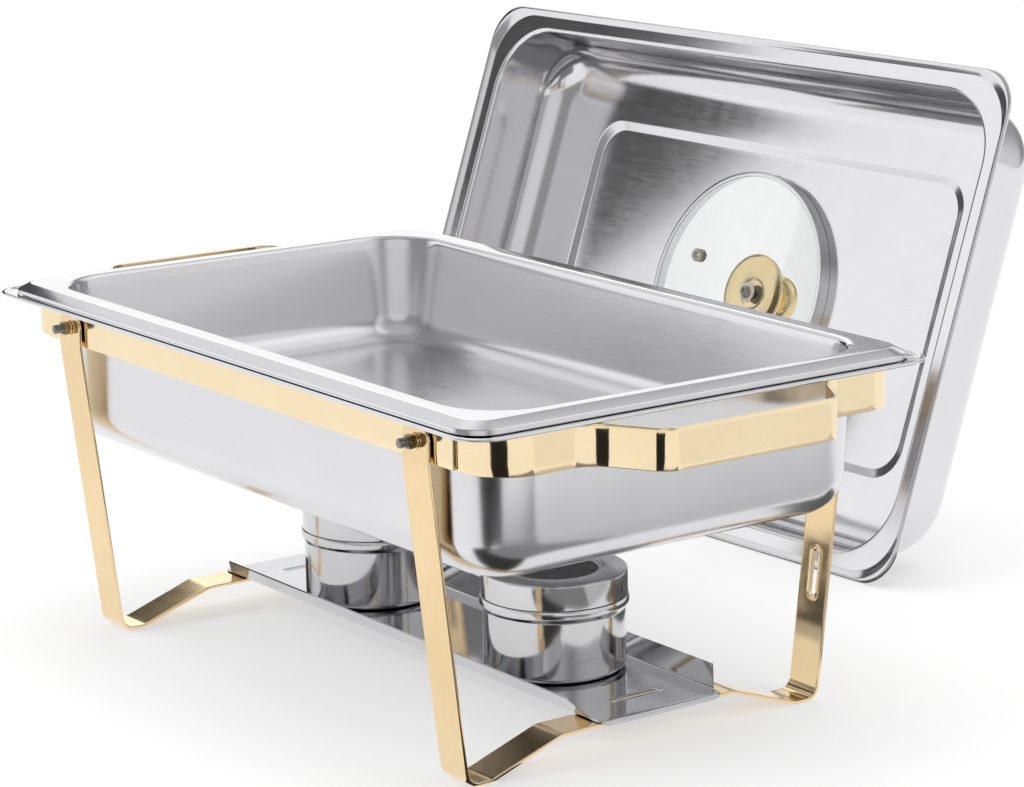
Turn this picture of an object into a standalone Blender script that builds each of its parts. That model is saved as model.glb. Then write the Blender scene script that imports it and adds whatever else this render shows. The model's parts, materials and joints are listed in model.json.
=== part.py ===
"""Folding chafing dish: gilt strip frame, water pan, food pan, fuel tray with two cans, glazed lid.

Frame of the part: X runs along the long side, Y from front to back, Z up, metres.
The dish stands on the floor z = 0 and the taken-off lid stands on its long edge behind it.
"""
import math

import bmesh
import bpy
from mathutils import Matrix, Vector

# ------------------------------------------------------------------ shared sizes
GAP = 0.0003                 # air between pieces that touch in use
SHEET = 0.0007               # pan and lid sheet
ARC_STEP = math.radians(15)  # facet angle of bent strips
CORNER_STEPS = 5             # facets in each plan corner of a pan

# ------------------------------------------------------------------ water pan
RIM_L = 0.5600
RIM_W = 0.3470
RIM_CORNER = 0.0220
RIM_BEAD = 0.0010            # radius of the rolled outer edge
WATER_FLANGE_END = 0.0270    # flange width at the ends
WATER_FLANGE_SIDE = 0.0250    # flange width at the long sides
WATER_OPEN_L = RIM_L - 2 * WATER_FLANGE_END
WATER_OPEN_W = RIM_W - 2 * WATER_FLANGE_SIDE
WATER_OPEN_CORNER = 0.0440
WATER_DEPTH = 0.0965
WATER_TAPER = 0.0050
WATER_FILLET = 0.0260

# ------------------------------------------------------------------ food pan
FOOD_SETBACK_END = 0.0100    # food pan edge inside the water pan edge
FOOD_SETBACK_SIDE = 0.0065
FOOD_RIM_L = RIM_L - 2 * FOOD_SETBACK_END
FOOD_RIM_W = RIM_W - 2 * FOOD_SETBACK_SIDE
FOOD_RIM_CORNER = 0.0220
FOOD_BEVEL = 0.0081          # width of the sloping edge, outside the ridge
FOOD_LAND_END = 0.0059        # flat between ridge and opening at the ends
FOOD_LAND_SIDE = 0.0093
FOOD_RIDGE_L = FOOD_RIM_L - 2 * FOOD_BEVEL
FOOD_RIDGE_W = FOOD_RIM_W - 2 * FOOD_BEVEL
FOOD_OPEN_L = FOOD_RIDGE_L - 2 * FOOD_LAND_END
FOOD_OPEN_W = FOOD_RIDGE_W - 2 * FOOD_LAND_SIDE
FOOD_OPEN_CORNER = 0.0440
FOOD_RIDGE_RISE = 0.0072     # ridge above the underside of the edge
FOOD_DEPTH = 0.0710
FOOD_TAPER = 0.0120
FOOD_FILLET = 0.0200
FOOD_LIP_FILLET = 0.0040

# ------------------------------------------------------------------ strip frame
STRIP_T = 0.0016             # rails and end bands
STRIP_H = 0.0253             # height of the frame strip
FRAME_TOP = 0.2232           # upper edge of the strip, under the pan rim
RIM_Z = FRAME_TOP + GAP
RAIL_SETBACK = 0.0190        # rail face inside the pan's long edge
BAND_SETBACK = 0.0080        # band face inside the pan's end edge
RAIL_FACE = RIM_W / 2 - RAIL_SETBACK
BAND_FACE = RIM_L / 2 - BAND_SETBACK
RAIL_GAP = 0.0380            # from a rail's end to the band face
RAIL_HALF = BAND_FACE - RAIL_GAP
BAND_CORNER = 0.0300         # outer corner radius of an end band
BAND_RETURN = 0.0860         # length of a band's return, from its face
BAND_RETURN_END = BAND_FACE - BAND_RETURN
HANDLE_OUT = 0.0420          # how far a handle stands out
HANDLE_ROOT = 0.0870         # half spread of a handle at the band
HANDLE_FACE = 0.0620         # half length of the grip face
HANDLE_BEND = 0.0070         # bend radius of the handle

# ------------------------------------------------------------------ folding legs
PIVOT_INSET = 0.0710         # pivot inside the band face
PIVOT_X = BAND_FACE - PIVOT_INSET
LEG_W = 0.0264
PIVOT_Z = FRAME_TOP - LEG_W / 2 - GAP
LEG_T = 0.0021
LEG_JOGGLE = 0.0024          # inward step below the rail
LEG_JOGGLE_TOP = 0.1970
LEG_JOGGLE_END = 0.1885
FOOT_SPLAY = 0.0200          # foot inside the rail face
FOOT_FACE = RAIL_FACE - FOOT_SPLAY
FOOT_BEND = 0.0090
FOOT_FLAT = 0.0180           # length of the flat of the foot
FOOT_INNER = FOOT_FACE - FOOT_FLAT
PLATEAU_HALF = 0.0660        # half length of the raised middle of the crossbar
PLATEAU_RISE = 0.0172        # underside of the raised middle above the floor
RAMP_BEND = 0.0180
SLOT_W = 0.0055
SLOT_L = 0.0300
SLOT_Z = 0.0785

# ------------------------------------------------------------------ pivots
BOLT_R = 0.0025
HOLE_R = BOLT_R + 0.0004
BOLT_HEAD_R = 0.0055
BOLT_HEAD_T = 0.0008
BOLT_STICKOUT = 0.0028       # bright end beyond the nut
NUT_R = 0.0049               # across corners / 2
NUT_T = 0.0042
WASHER_R = 0.0062
WASHER_T = 0.0009
SPACER_R = 0.0060
PIVOT_SEGMENTS = 14

# ------------------------------------------------------------------ fuel tray
TRAY_T = 0.0010
TRAY_BASE_W = 0.0940
TRAY_HALF = PIVOT_X + LEG_W / 2 + GAP + 0.0001
TRAY_FLANGE = 0.0120         # height of a side flange
TRAY_FLARE = 0.0090          # how far the flange leans out
TRAY_FLANGE_HALF = 0.1940    # half length of a flange top
TRAY_LIP = 0.0025            # turned-down lip outside the crossbar
TRAY_BACK = 0.0095           # tray set back from the middle
TRAY_CORNER = 0.0080
TRAY_SLIT_L = 0.0370
TRAY_SLIT_W = 0.0030
TRAY_SLIT_X = 0.1860

# ------------------------------------------------------------------ fuel cans
CAN_X = (-0.1010, 0.1055)
CAN_R = 0.0450
CAN_WALL = 0.0008
CAN_H = 0.0640
CAN_FLOOR_R = 0.0040
CAN_BEAD = 0.0024
COVER_SKIRT = 0.0160
COVER_R = 0.0462
COVER_T = 0.0008
COVER_HOLE_R = 0.0280
COVER_SIDE_HOLE_R = 0.0020
CAN_SEGMENTS = 36

# ------------------------------------------------------------------ lid
LID_OVERLAP = 0.0130
LID_L = RIM_L + 2 * LID_OVERLAP
LID_W = RIM_W + 2 * LID_OVERLAP
LID_CORNER = 0.0300
LID_FLANGE = 0.0140
LID_DEPTH = 0.0675           # from the pressed edge to the flat top
LID_TAPER = 0.0020
LID_FILLET = 0.0250
LID_BEAD = 0.0014
LID_LIP = 0.0028             # flange set back from its outermost edge
PANEL_L = 0.4060
PANEL_W = 0.2160
PANEL_RISE = 0.0025
WINDOW_R = 0.0930
BEZEL_WALL = 0.0012
BEZEL_DROP = 0.0095          # how far the ring stands into the lid
BEZEL_FLANGE = 0.0040
BEZEL_LIP = 0.0030
GLASS_T = 0.0040
GLASS_SAG = 0.0140
VENT_AT = (-0.0600, -0.0200)
VENT_R = 0.0032
VENT_FLANGE_R = 0.0053
KNOB_BASE_R = 0.0315
KNOB_HEAD_R = 0.0200
KNOB_H = 0.0390
SCREW_R = 0.0024
SCREW_HEAD_R = 0.0046
SCREW_HEAD_T = 0.0030
KNOB_WASHER_R = 0.0100
KNOB_WASHER_T = 0.0015
GLASS_SEGMENTS = 48
KNOB_SEGMENTS = 28

LID_LEAN = math.radians(19.2)
LID_HEADING = math.radians(2.3)
LID_AT = (-0.2300, 0.3175)


# ================================================================== helpers
def clear_scene():
    """Remove every object of the start-up scene."""
    for obj in list(bpy.data.objects):
        bpy.data.objects.remove(obj, do_unlink=True)


def material(name, colour, metallic, roughness, transmission=0.0):
    """Make one Principled material."""
    mat = bpy.data.materials.new(name)
    mat.use_nodes = True
    shader = mat.node_tree.nodes["Principled BSDF"]
    shader.inputs["Base Color"].default_value = (*colour, 1.0)
    shader.inputs["Metallic"].default_value = metallic
    shader.inputs["Roughness"].default_value = roughness
    shader.inputs["Transmission Weight"].default_value = transmission
    mat.diffuse_color = (*colour, 1.0)
    return mat


FINISHES = {
    "gilt": ((0.86, 0.66, 0.36), 1.0, 0.16),
    "satin": ((0.70, 0.70, 0.71), 1.0, 0.34),
    "bright": ((0.62, 0.62, 0.64), 1.0, 0.10),
    "dark": ((0.16, 0.15, 0.15), 1.0, 0.22),
    "glass": ((0.95, 0.97, 0.97), 0.0, 0.03, 1.0),
    "rubber": ((0.55, 0.55, 0.53), 0.0, 0.60),
}


def empty(name, parent=None, at=(0, 0, 0)):
    """Add an empty that carries a body or marks a joint axis."""
    obj = bpy.data.objects.new(name, None)
    bpy.context.scene.collection.objects.link(obj)
    obj.parent = parent
    obj.location = at
    return obj


def from_bmesh(name, bm, finish, parent, at=(0, 0, 0), smooth=True):
    """Turn a bmesh into a named object with its own material."""
    bmesh.ops.recalc_face_normals(bm, faces=bm.faces)
    mesh = bpy.data.meshes.new(name)
    bm.to_mesh(mesh)
    bm.free()
    obj = bpy.data.objects.new(name, mesh)
    bpy.context.scene.collection.objects.link(obj)
    obj.parent = parent
    obj.location = at
    obj.data.materials.append(material(name, *FINISHES[finish]))
    if smooth:
        mesh.shade_smooth()
        mesh.set_sharp_from_angle(angle=math.radians(32))
    return obj


def cut(target, cutter):
    """Subtract a hidden cutter from a piece with an exact Boolean."""
    cutter.hide_render = True
    cutter.display_type = "WIRE"
    mod = target.modifiers.new(cutter.name, "BOOLEAN")
    mod.operation = "DIFFERENCE"
    mod.solver = "EXACT"
    mod.object = cutter


def rod_cutter(name, radius, length, centre, axis, parent, segments=PIVOT_SEGMENTS):
    """Make a hidden cylinder along an axis, for holes."""
    bm = bmesh.new()
    bmesh.ops.create_cone(bm, cap_ends=True, segments=segments,
                          radius1=radius, radius2=radius, depth=length)
    turn = Vector((0, 0, 1)).rotation_difference(Vector(axis)).to_matrix().to_4x4()
    bmesh.ops.transform(bm, matrix=Matrix.Translation(centre) @ turn, verts=bm.verts)
    mesh = bpy.data.meshes.new(name)
    bm.to_mesh(mesh)
    bm.free()
    obj = bpy.data.objects.new(name, mesh)
    bpy.context.scene.collection.objects.link(obj)
    obj.parent = parent
    return obj


def box_cutter(name, low, high, parent):
    """Make a hidden box between two corners."""
    bm = bmesh.new()
    bmesh.ops.create_cube(bm, size=1.0)
    size = Vector(high) - Vector(low)
    mid = (Vector(high) + Vector(low)) / 2
    place = Matrix.Translation(mid) @ Matrix.Diagonal((*size, 1.0))
    bmesh.ops.transform(bm, matrix=place, verts=bm.verts)
    mesh = bpy.data.meshes.new(name)
    bm.to_mesh(mesh)
    bm.free()
    obj = bpy.data.objects.new(name, mesh)
    bpy.context.scene.collection.objects.link(obj)
    obj.parent = parent
    return obj


def stadium_cutter(name, width, length, depth, centre, parent):
    """Make a hidden slot-shaped prism: long in Z, running along Y."""
    bm = bmesh.new()
    half = length / 2 - width / 2
    ring = []
    for end, start in ((1, 0.0), (-1, math.pi)):
        for i in range(7):
            a = start + math.pi * i / 6
            ring.append((width / 2 * math.cos(a), end * half + width / 2 * math.sin(a)))
    front = [bm.verts.new((x, -depth / 2, z)) for x, z in ring]
    back = [bm.verts.new((x, depth / 2, z)) for x, z in ring]
    bm.faces.new(front)
    bm.faces.new(reversed(back))
    count = len(ring)
    for i in range(count):
        j = (i + 1) % count
        bm.faces.new((front[i], back[i], back[j], front[j]))
    bmesh.ops.recalc_face_normals(bm, faces=bm.faces)
    mesh = bpy.data.meshes.new(name)
    bm.to_mesh(mesh)
    bm.free()
    obj = bpy.data.objects.new(name, mesh)
    bpy.context.scene.collection.objects.link(obj)
    obj.parent = parent
    obj.location = centre
    return obj


def lathe(name, profile, finish, parent, segments, at=(0, 0, 0), turn=None, closed=False):
    """Spin a profile of (radius, height) points round Z with a Screw modifier.

    An open profile starts and ends on the axis; a closed one is a ring section.
    The outer side of the profile runs from top to bottom.
    """
    bm = bmesh.new()
    verts = [bm.verts.new((r, 0.0, z)) for r, z in profile]
    for a, b in zip(verts, verts[1:]):
        bm.edges.new((a, b))
    if closed:
        bm.edges.new((verts[-1], verts[0]))
    mesh = bpy.data.meshes.new(name)
    bm.to_mesh(mesh)
    bm.free()
    obj = bpy.data.objects.new(name, mesh)
    bpy.context.scene.collection.objects.link(obj)
    obj.parent = parent
    obj.location = at
    if turn is not None:
        obj.rotation_euler = turn
    obj.data.materials.append(material(name, *FINISHES[finish]))
    mod = obj.modifiers.new("Turned", "SCREW")
    mod.steps = segments
    mod.render_steps = segments
    mod.use_merge_vertices = True
    mod.merge_threshold = 0.00002
    mod.use_smooth_shade = True
    return obj


def arc(centre, radius, start, end, steps):
    """Points of a plane arc; angles in degrees."""
    points = []
    for i in range(steps + 1):
        a = math.radians(start + (end - start) * i / steps)
        points.append((centre[0] + radius * math.cos(a), centre[1] + radius * math.sin(a)))
    return points


def filleted(points, radii):
    """Round the inner corners of a plane path; radii match the inner points."""
    out = [Vector(points[0])]
    for before, at, after, radius in zip(points, points[1:], points[2:], radii):
        at = Vector(at)
        d0 = (Vector(before) - at).normalized()
        d1 = (Vector(after) - at).normalized()
        angle = math.pi - d0.angle(d1)
        setback = radius * math.tan(angle / 2)
        start = at + d0 * setback
        end = at + d1 * setback
        centre = at + (d0 + d1).normalized() * (radius / math.cos(angle / 2))
        steps = max(2, math.ceil(angle / ARC_STEP))
        u = (start - centre) / radius
        w = (end - centre) / radius
        for i in range(steps + 1):
            f = i / steps
            s0 = math.sin((1 - f) * angle) / math.sin(angle)
            s1 = math.sin(f * angle) / math.sin(angle)
            out.append(centre + (u * s0 + w * s1) * radius)
    out.append(Vector(points[-1]))
    return out


def path_normals(points):
    """Mitred unit offsets of a plane path, to the left of travel."""
    normals = []
    for i, p in enumerate(points):
        before = points[i - 1] if i > 0 else None
        after = points[i + 1] if i < len(points) - 1 else None
        d0 = (p - before).normalized() if before is not None else (after - p).normalized()
        d1 = (after - p).normalized() if after is not None else d0
        n0 = Vector((-d0.y, d0.x))
        n1 = Vector((-d1.y, d1.x))
        mid = (n0 + n1).normalized()
        normals.append(mid / max(0.3, mid.dot(n0)))
    return normals


def ribbon(name, points, thickness, halves, place, finish, parent, at=(0, 0, 0)):
    """Bend a flat strip along a plane path.

    points: centre line; halves: half width at each point; place: maps
    (path x, path y, across) to the object's own axes.
    """
    bm = bmesh.new()
    rows = []
    for p, n, half in zip(points, path_normals(points), halves):
        inner = p + n * thickness / 2
        outer = p - n * thickness / 2
        corners = ((inner, -half), (inner, half), (outer, half), (outer, -half))
        rows.append([bm.verts.new(place(q.x, q.y, w)) for q, w in corners])
    for a, b in zip(rows, rows[1:]):
        for i in range(4):
            j = (i + 1) % 4
            bm.faces.new((a[i], a[j], b[j], b[i]))
    bm.faces.new(reversed(rows[0]))
    bm.faces.new(rows[-1])
    return from_bmesh(name, bm, finish, parent, at)


def plan_ring(half_l, half_w, radius, z):
    """Rounded rectangle of points at one height."""
    points = []
    for sx, sy, start in ((1, 1, 0), (-1, 1, 90), (-1, -1, 180), (1, -1, 270)):
        centre = (sx * (half_l - radius), sy * (half_w - radius))
        for x, y in arc(centre, radius, start, start + 90, CORNER_STEPS):
            points.append((x, y, z))
    return points


def offset_profile(profile, distance):
    """Shift a sheet's centre line sideways; profile rows are (out_l, out_w, radius, z)."""
    line = [Vector(((a + b) / 2, z)) for a, b, _, z in profile]
    shifted = []
    for (a, b, r, z), n in zip(profile, path_normals(line)):
        d = n * distance
        shifted.append((a + d.x, b + d.x, r + d.x, z + d.y))
    return shifted


def sheet_shell(name, profile, thickness, finish, parent, at=(0, 0, 0), bead=None):
    """Press one sheet to a rounded-rectangle pan.

    profile: (half length, half width, corner radius, z) of the sheet's middle
    surface, from the outer edge to the flat floor. bead: rows round the outer
    edge that join the two sides.
    """
    one_side = offset_profile(profile, thickness / 2)
    other = offset_profile(profile, -thickness / 2)
    rows = list(reversed(one_side)) + (bead or []) + other
    bm = bmesh.new()
    loops = [[bm.verts.new(p) for p in plan_ring(*row)] for row in rows]
    count = len(loops[0])
    for a, b in zip(loops, loops[1:]):
        for i in range(count):
            j = (i + 1) % count
            bm.faces.new((a[i], a[j], b[j], b[i]))
    bm.faces.new(reversed(loops[0]))
    bm.faces.new(loops[-1])
    return from_bmesh(name, bm, finish, parent, at)


def wall_rows(half_l, half_w, corner, top, bottom, taper, lip, fillet, steps=4):
    """Rows from a flange over a rounded lip, down a tapering wall, into the floor."""
    rows = []
    lip_steps = 3
    for i in range(lip_steps + 1):
        a = math.radians(90 * i / lip_steps)
        o = -lip * math.sin(a)
        rows.append((half_l + o, half_w + o, corner + o, top - lip * (1 - math.cos(a))))
    for i in range(steps + 1):
        a = math.radians(90 * i / steps)
        o = -lip - taper - fillet * (1 - math.cos(a))
        rows.append((half_l + o, half_w + o, corner + o, bottom + fillet * (1 - math.sin(a))))
    return rows


# ================================================================== frame
def build_rails(root):
    """Two straight long rails."""
    for name, side in (("front_rail", -1), ("rear_rail", 1)):
        y = side * (RAIL_FACE - STRIP_T / 2)
        path = [Vector((x, y)) for x in (-RAIL_HALF, RAIL_HALF)]
        half = [STRIP_H / 2] * 2
        mid = FRAME_TOP - STRIP_H / 2
        rail = ribbon(name, path, STRIP_T, half, lambda a, b, w: (a, b, w), "gilt", root,
                      (0, 0, mid))
        for sx, tag in ((-1, "left"), (1, "right")):
            hole = rod_cutter(f"{name}_hole_{tag}", HOLE_R, 4 * STRIP_T,
                              (sx * PIVOT_X, y, PIVOT_Z - mid), (0, 1, 0), rail)
            cut(rail, hole)


def build_end_band(root, name, side):
    """One end band: return, corner, handle, corner, return, from one strip."""
    c = STRIP_T / 2
    back = RAIL_FACE - STRIP_T - GAP - c
    face = BAND_FACE - c
    out = face + HANDLE_OUT
    points = [(BAND_RETURN_END, -back), (face, -back), (face, -HANDLE_ROOT),
              (out, -HANDLE_FACE), (out, HANDLE_FACE), (face, HANDLE_ROOT),
              (face, back), (BAND_RETURN_END, back)]
    corner = BAND_CORNER - c
    radii = [corner, HANDLE_BEND, HANDLE_BEND, HANDLE_BEND, HANDLE_BEND, corner]
    path = [Vector((side * p.x, p.y)) for p in filleted(points, radii)]
    mid = FRAME_TOP - STRIP_H / 2
    band = ribbon(name, path, STRIP_T, [STRIP_H / 2] * len(path), lambda a, b, w: (a, b, w),
                  "gilt", root, (0, 0, mid))
    for sy, tag in ((-1, "front"), (1, "rear")):
        hole = rod_cutter(f"{name}_hole_{tag}", HOLE_R, 4 * STRIP_T,
                          (side * PIVOT_X, sy * back, PIVOT_Z - mid), (0, 1, 0), band)
        cut(band, hole)


LEG_INNER = RAIL_FACE + GAP  # inner face of the leg below the joggle
LEG_TOP_INNER = LEG_INNER + LEG_JOGGLE   # inner face of the leg at the pivot


def leg_centre_line():
    """Half of the leg frame's centre line, from the rounded top to the middle of the crossbar."""
    c = LEG_T / 2
    end_r = LEG_W / 2
    top = -(LEG_TOP_INNER + c)
    low = -(LEG_INNER + c)
    foot = -(FOOT_FACE - c)
    return [(top, PIVOT_Z + end_r), (top, LEG_JOGGLE_TOP), (low, LEG_JOGGLE_END),
            (foot, c), (-FOOT_INNER, c), (-PLATEAU_HALF, PLATEAU_RISE + c), (0.0, PLATEAU_RISE + c)]


def build_leg_frame(name, side, parent):
    """One U-shaped leg frame: two legs and the crossbar, one bent strip."""
    half_points = leg_centre_line()
    full = half_points[:-1] + [(-y, z) for y, z in reversed(half_points[:-1])]
    bends = [0.0060, 0.0060, FOOT_BEND, RAMP_BEND, RAMP_BEND]
    path = filleted(full, bends + bends[::-1])
    end_r = LEG_W / 2
    head = [end_r * (1 - math.cos(math.radians(a))) for a in (14, 30, 45, 60, 75, 90)]
    top_y = full[0][0]
    start = [Vector((top_y, full[0][1] - s)) for s in head]
    finish = [Vector((-top_y, full[0][1] - s)) for s in reversed(head)]
    halves = [math.sqrt(end_r ** 2 - (end_r - s) ** 2) for s in head]
    points = start + path[1:-1] + finish
    widths = halves + [end_r] * (len(path) - 2) + halves[::-1]
    frame = ribbon(name, [Vector((p.x, p.y - PIVOT_Z)) for p in points], LEG_T, widths,
                   lambda a, b, w: (w, a, b), "gilt", parent)
    top_mid = LEG_TOP_INNER + LEG_T / 2
    for sy, tag in ((-1, "front"), (1, "rear")):
        hole = rod_cutter(f"{name}_hole_{tag}", HOLE_R, 4 * LEG_T, (0, sy * top_mid, 0),
                          (0, 1, 0), frame)
        cut(frame, hole)
    slot_y = leg_face_y(SLOT_Z)
    lean = math.atan2(leg_face_y(SLOT_Z + 0.05) - slot_y, 0.05)
    slot = stadium_cutter(f"{name}_slot", SLOT_W, SLOT_L, 4 * LEG_T,
                          (0, slot_y - LEG_T / 2, SLOT_Z - PIVOT_Z), frame)
    slot.rotation_euler = (-lean, 0, 0)
    cut(frame, slot)
    return frame


def leg_face_y(z):
    """Outer face of the sloping leg at a height."""
    low = LEG_INNER + LEG_T
    share = (LEG_JOGGLE_END - z) / LEG_JOGGLE_END
    return low + (FOOT_FACE - low) * share


def build_pivot(tag, sx, sy, root):
    """Bolt, spacer, washer and nut of one leg pivot; the bolt runs outwards along Y."""
    turn = (math.radians(-90 * sy), 0, 0)
    inner = RAIL_FACE - 2 * STRIP_T - GAP
    at = (sx * PIVOT_X, 0, PIVOT_Z)
    head_in = inner - GAP - BOLT_HEAD_T
    washer_in = LEG_TOP_INNER + LEG_T + GAP
    nut_in = washer_in + WASHER_T + GAP
    tip = nut_in + NUT_T + BOLT_STICKOUT
    chamfer = 0.0006
    bolt = [(0, tip), (BOLT_R - chamfer, tip), (BOLT_R, tip - chamfer),
            (BOLT_R, head_in + BOLT_HEAD_T), (BOLT_HEAD_R, head_in + BOLT_HEAD_T),
            (BOLT_HEAD_R, head_in + BOLT_HEAD_T / 2),
            (BOLT_HEAD_R - BOLT_HEAD_T / 2, head_in), (0, head_in)]
    lathe(f"pivot_bolt_{tag}", bolt, "dark", root, PIVOT_SEGMENTS, at, turn)
    for name, radius, low, thick in (
            ("pivot_spacer", SPACER_R, RAIL_FACE + GAP, LEG_JOGGLE - GAP),
            ("pivot_washer", WASHER_R, washer_in, WASHER_T)):
        ring = [(HOLE_R, low + thick), (radius, low + thick), (radius, low), (HOLE_R, low)]
        lathe(f"{name}_{tag}", ring, "dark", root, PIVOT_SEGMENTS, at, turn, closed=True)
    build_nut(f"pivot_nut_{tag}", nut_in, at, turn, root)


def build_nut(name, low, at, turn, parent):
    """Hexagon nut with chamfered corners and a clear bore."""
    bm = bmesh.new()
    count = 18
    rows = ((0.0, 0.90), (0.14, 1.0), (0.86, 1.0), (1.0, 0.90))
    outer = []
    inner = []
    for share, scale in rows:
        z = low + NUT_T * share
        loop = []
        for i in range(count):
            a = 2 * math.pi * i / count
            phase = (a % (math.pi / 3)) - math.pi / 6
            flat = NUT_R * math.cos(math.pi / 6) / math.cos(phase)
            radius = min(flat, NUT_R * scale)
            loop.append(bm.verts.new((radius * math.cos(a), radius * math.sin(a), z)))
        outer.append(loop)
    for z in (low, low + NUT_T):
        loop = []
        for i in range(count):
            a = 2 * math.pi * i / count
            loop.append(bm.verts.new((HOLE_R * math.cos(a), HOLE_R * math.sin(a), z)))
        inner.append(loop)
    pairs = list(zip(outer, outer[1:])) + [(inner[1], inner[0]), (inner[0], outer[0]),
                                           (outer[-1], inner[1])]
    for a, b in pairs:
        for i in range(count):
            j = (i + 1) % count
            bm.faces.new((a[i], a[j], b[j], b[i]))
    nut = from_bmesh(name, bm, "dark", parent, at)
    nut.rotation_euler = turn


# ================================================================== pans
def build_water_pan(parent):
    """Deep water pan whose flange rests on the frame strip."""
    t = SHEET
    mid = t / 2
    half_l, half_w = RIM_L / 2, RIM_W / 2
    edge = 2.2 * RIM_BEAD
    flange = [(half_l - edge, half_w - edge, RIM_CORNER - edge, mid)]
    lip = 0.0030
    open_l, open_w = WATER_OPEN_L / 2 + lip, WATER_OPEN_W / 2 + lip
    wall = wall_rows(open_l, open_w, WATER_OPEN_CORNER + lip, mid, mid - WATER_DEPTH,
                     WATER_TAPER, lip, WATER_FILLET)
    bead = []
    for a in (230, 290, 340, 30, 80, 130):
        r = math.radians(a)
        o = RIM_BEAD * (math.cos(r) - 1)
        bead.append((half_l + o, half_w + o, RIM_CORNER + o, RIM_BEAD * (1 + math.sin(r))))
    return sheet_shell("water_pan", flange + wall, t, "satin", parent, (0, 0, RIM_Z), bead)


def build_food_pan(parent):
    """Shallow food pan with a raised, bevelled rim."""
    t = SHEET
    mid = t / 2
    rim = [(FOOD_RIM_L / 2, FOOD_RIM_W / 2, FOOD_RIM_CORNER, mid + 0.0001),
           (FOOD_RIM_L / 2 - 0.0006, FOOD_RIM_W / 2 - 0.0006, FOOD_RIM_CORNER, 0.0020),
           (FOOD_RIM_L / 2 - 0.0030, FOOD_RIM_W / 2 - 0.0018, FOOD_RIM_CORNER - 0.002, 0.0036),
           (FOOD_RIDGE_L / 2 + 0.0008, FOOD_RIDGE_W / 2 + 0.0008, 0.0150,
            FOOD_RIDGE_RISE - 0.0004 - mid),
           (FOOD_RIDGE_L / 2 - 0.0008, FOOD_RIDGE_W / 2 - 0.0008, 0.0150,
            FOOD_RIDGE_RISE - mid)]
    wall = wall_rows(FOOD_OPEN_L / 2, FOOD_OPEN_W / 2, FOOD_OPEN_CORNER,
                     FOOD_RIDGE_RISE - mid, FOOD_RIDGE_RISE - mid - FOOD_DEPTH, FOOD_TAPER,
                     FOOD_LIP_FILLET, FOOD_FILLET)
    return sheet_shell("food_pan", rim + wall, t, "satin", parent, (0, 0, SHEET + GAP))


# ================================================================== fuel tray and cans
TRAY_Z = PLATEAU_RISE + LEG_T + GAP


def build_tray(parent):
    """Channel tray: flared side flanges, angled ends, turned-down end lips, slits."""
    t = TRAY_T
    c = t / 2
    half = TRAY_BASE_W / 2
    section = filleted([(-half - TRAY_FLARE, TRAY_FLANGE + c), (-half, c), (half, c),
                        (half + TRAY_FLARE, TRAY_FLANGE + c)], [0.0030, 0.0030])
    tray = ribbon("fuel_tray", section, t, [TRAY_HALF + t] * len(section),
                  lambda a, b, w: (w, a, b), "bright", parent)
    for sx, tag in ((-1, "left"), (1, "right")):
        for sy, side in ((-1, "front"), (1, "rear")):
            nose = flange_end_cutter(f"tray_nose_{tag}_{side}", sx, sy, tray)
            cut(tray, nose)
        low = (sx * TRAY_SLIT_X - TRAY_SLIT_W / 2, -TRAY_SLIT_L / 2, -0.002)
        high = (sx * TRAY_SLIT_X + TRAY_SLIT_W / 2, TRAY_SLIT_L / 2, 0.004)
        cut(tray, box_cutter(f"tray_slit_{tag}", low, high, tray))
        lip = tray_lip(f"tray_lip_{tag}", sx, tray)
        mod = tray.modifiers.new(lip.name, "BOOLEAN")
        mod.operation = "UNION"
        mod.solver = "EXACT"
        mod.object = lip
    return tray


def tray_lip(name, sx, parent):
    """Hidden prism joined on as the turned-down end lip."""
    half = TRAY_BASE_W / 2 - TRAY_CORNER
    x0, x1 = sorted((sx * TRAY_HALF, sx * (TRAY_HALF + TRAY_T)))
    lip = box_cutter(name, (x0, -half, -TRAY_LIP), (x1, half, TRAY_T / 2), parent)
    lip.hide_render = True
    lip.display_type = "WIRE"
    return lip


def flange_end_cutter(name, sx, sy, parent):
    """Hidden prism that trims a flange end on the slant and rounds the base corner."""
    bm = bmesh.new()
    half = TRAY_BASE_W / 2
    reach = TRAY_FLARE + 0.004
    end = TRAY_HALF + TRAY_T
    outline = [(TRAY_FLANGE_HALF, half + reach), (TRAY_FLANGE_HALF, half + TRAY_FLARE),
               (end - TRAY_CORNER - 0.002, half + 0.0010), (end - TRAY_CORNER * 0.35,
                half - TRAY_CORNER * 0.35), (end, half - TRAY_CORNER),
               (end + 0.004, half - TRAY_CORNER), (end + 0.004, half + reach)]
    low = [bm.verts.new((sx * x, sy * y, -0.004)) for x, y in outline]
    high = [bm.verts.new((sx * x, sy * y, 0.018)) for x, y in outline]
    bm.faces.new(low)
    bm.faces.new(reversed(high))
    count = len(outline)
    for i in range(count):
        j = (i + 1) % count
        bm.faces.new((low[i], high[i], high[j], low[j]))
    bmesh.ops.recalc_face_normals(bm, faces=bm.faces)
    mesh = bpy.data.meshes.new(name)
    bm.to_mesh(mesh)
    bm.free()
    obj = bpy.data.objects.new(name, mesh)
    bpy.context.scene.collection.objects.link(obj)
    obj.parent = parent
    return obj


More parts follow.
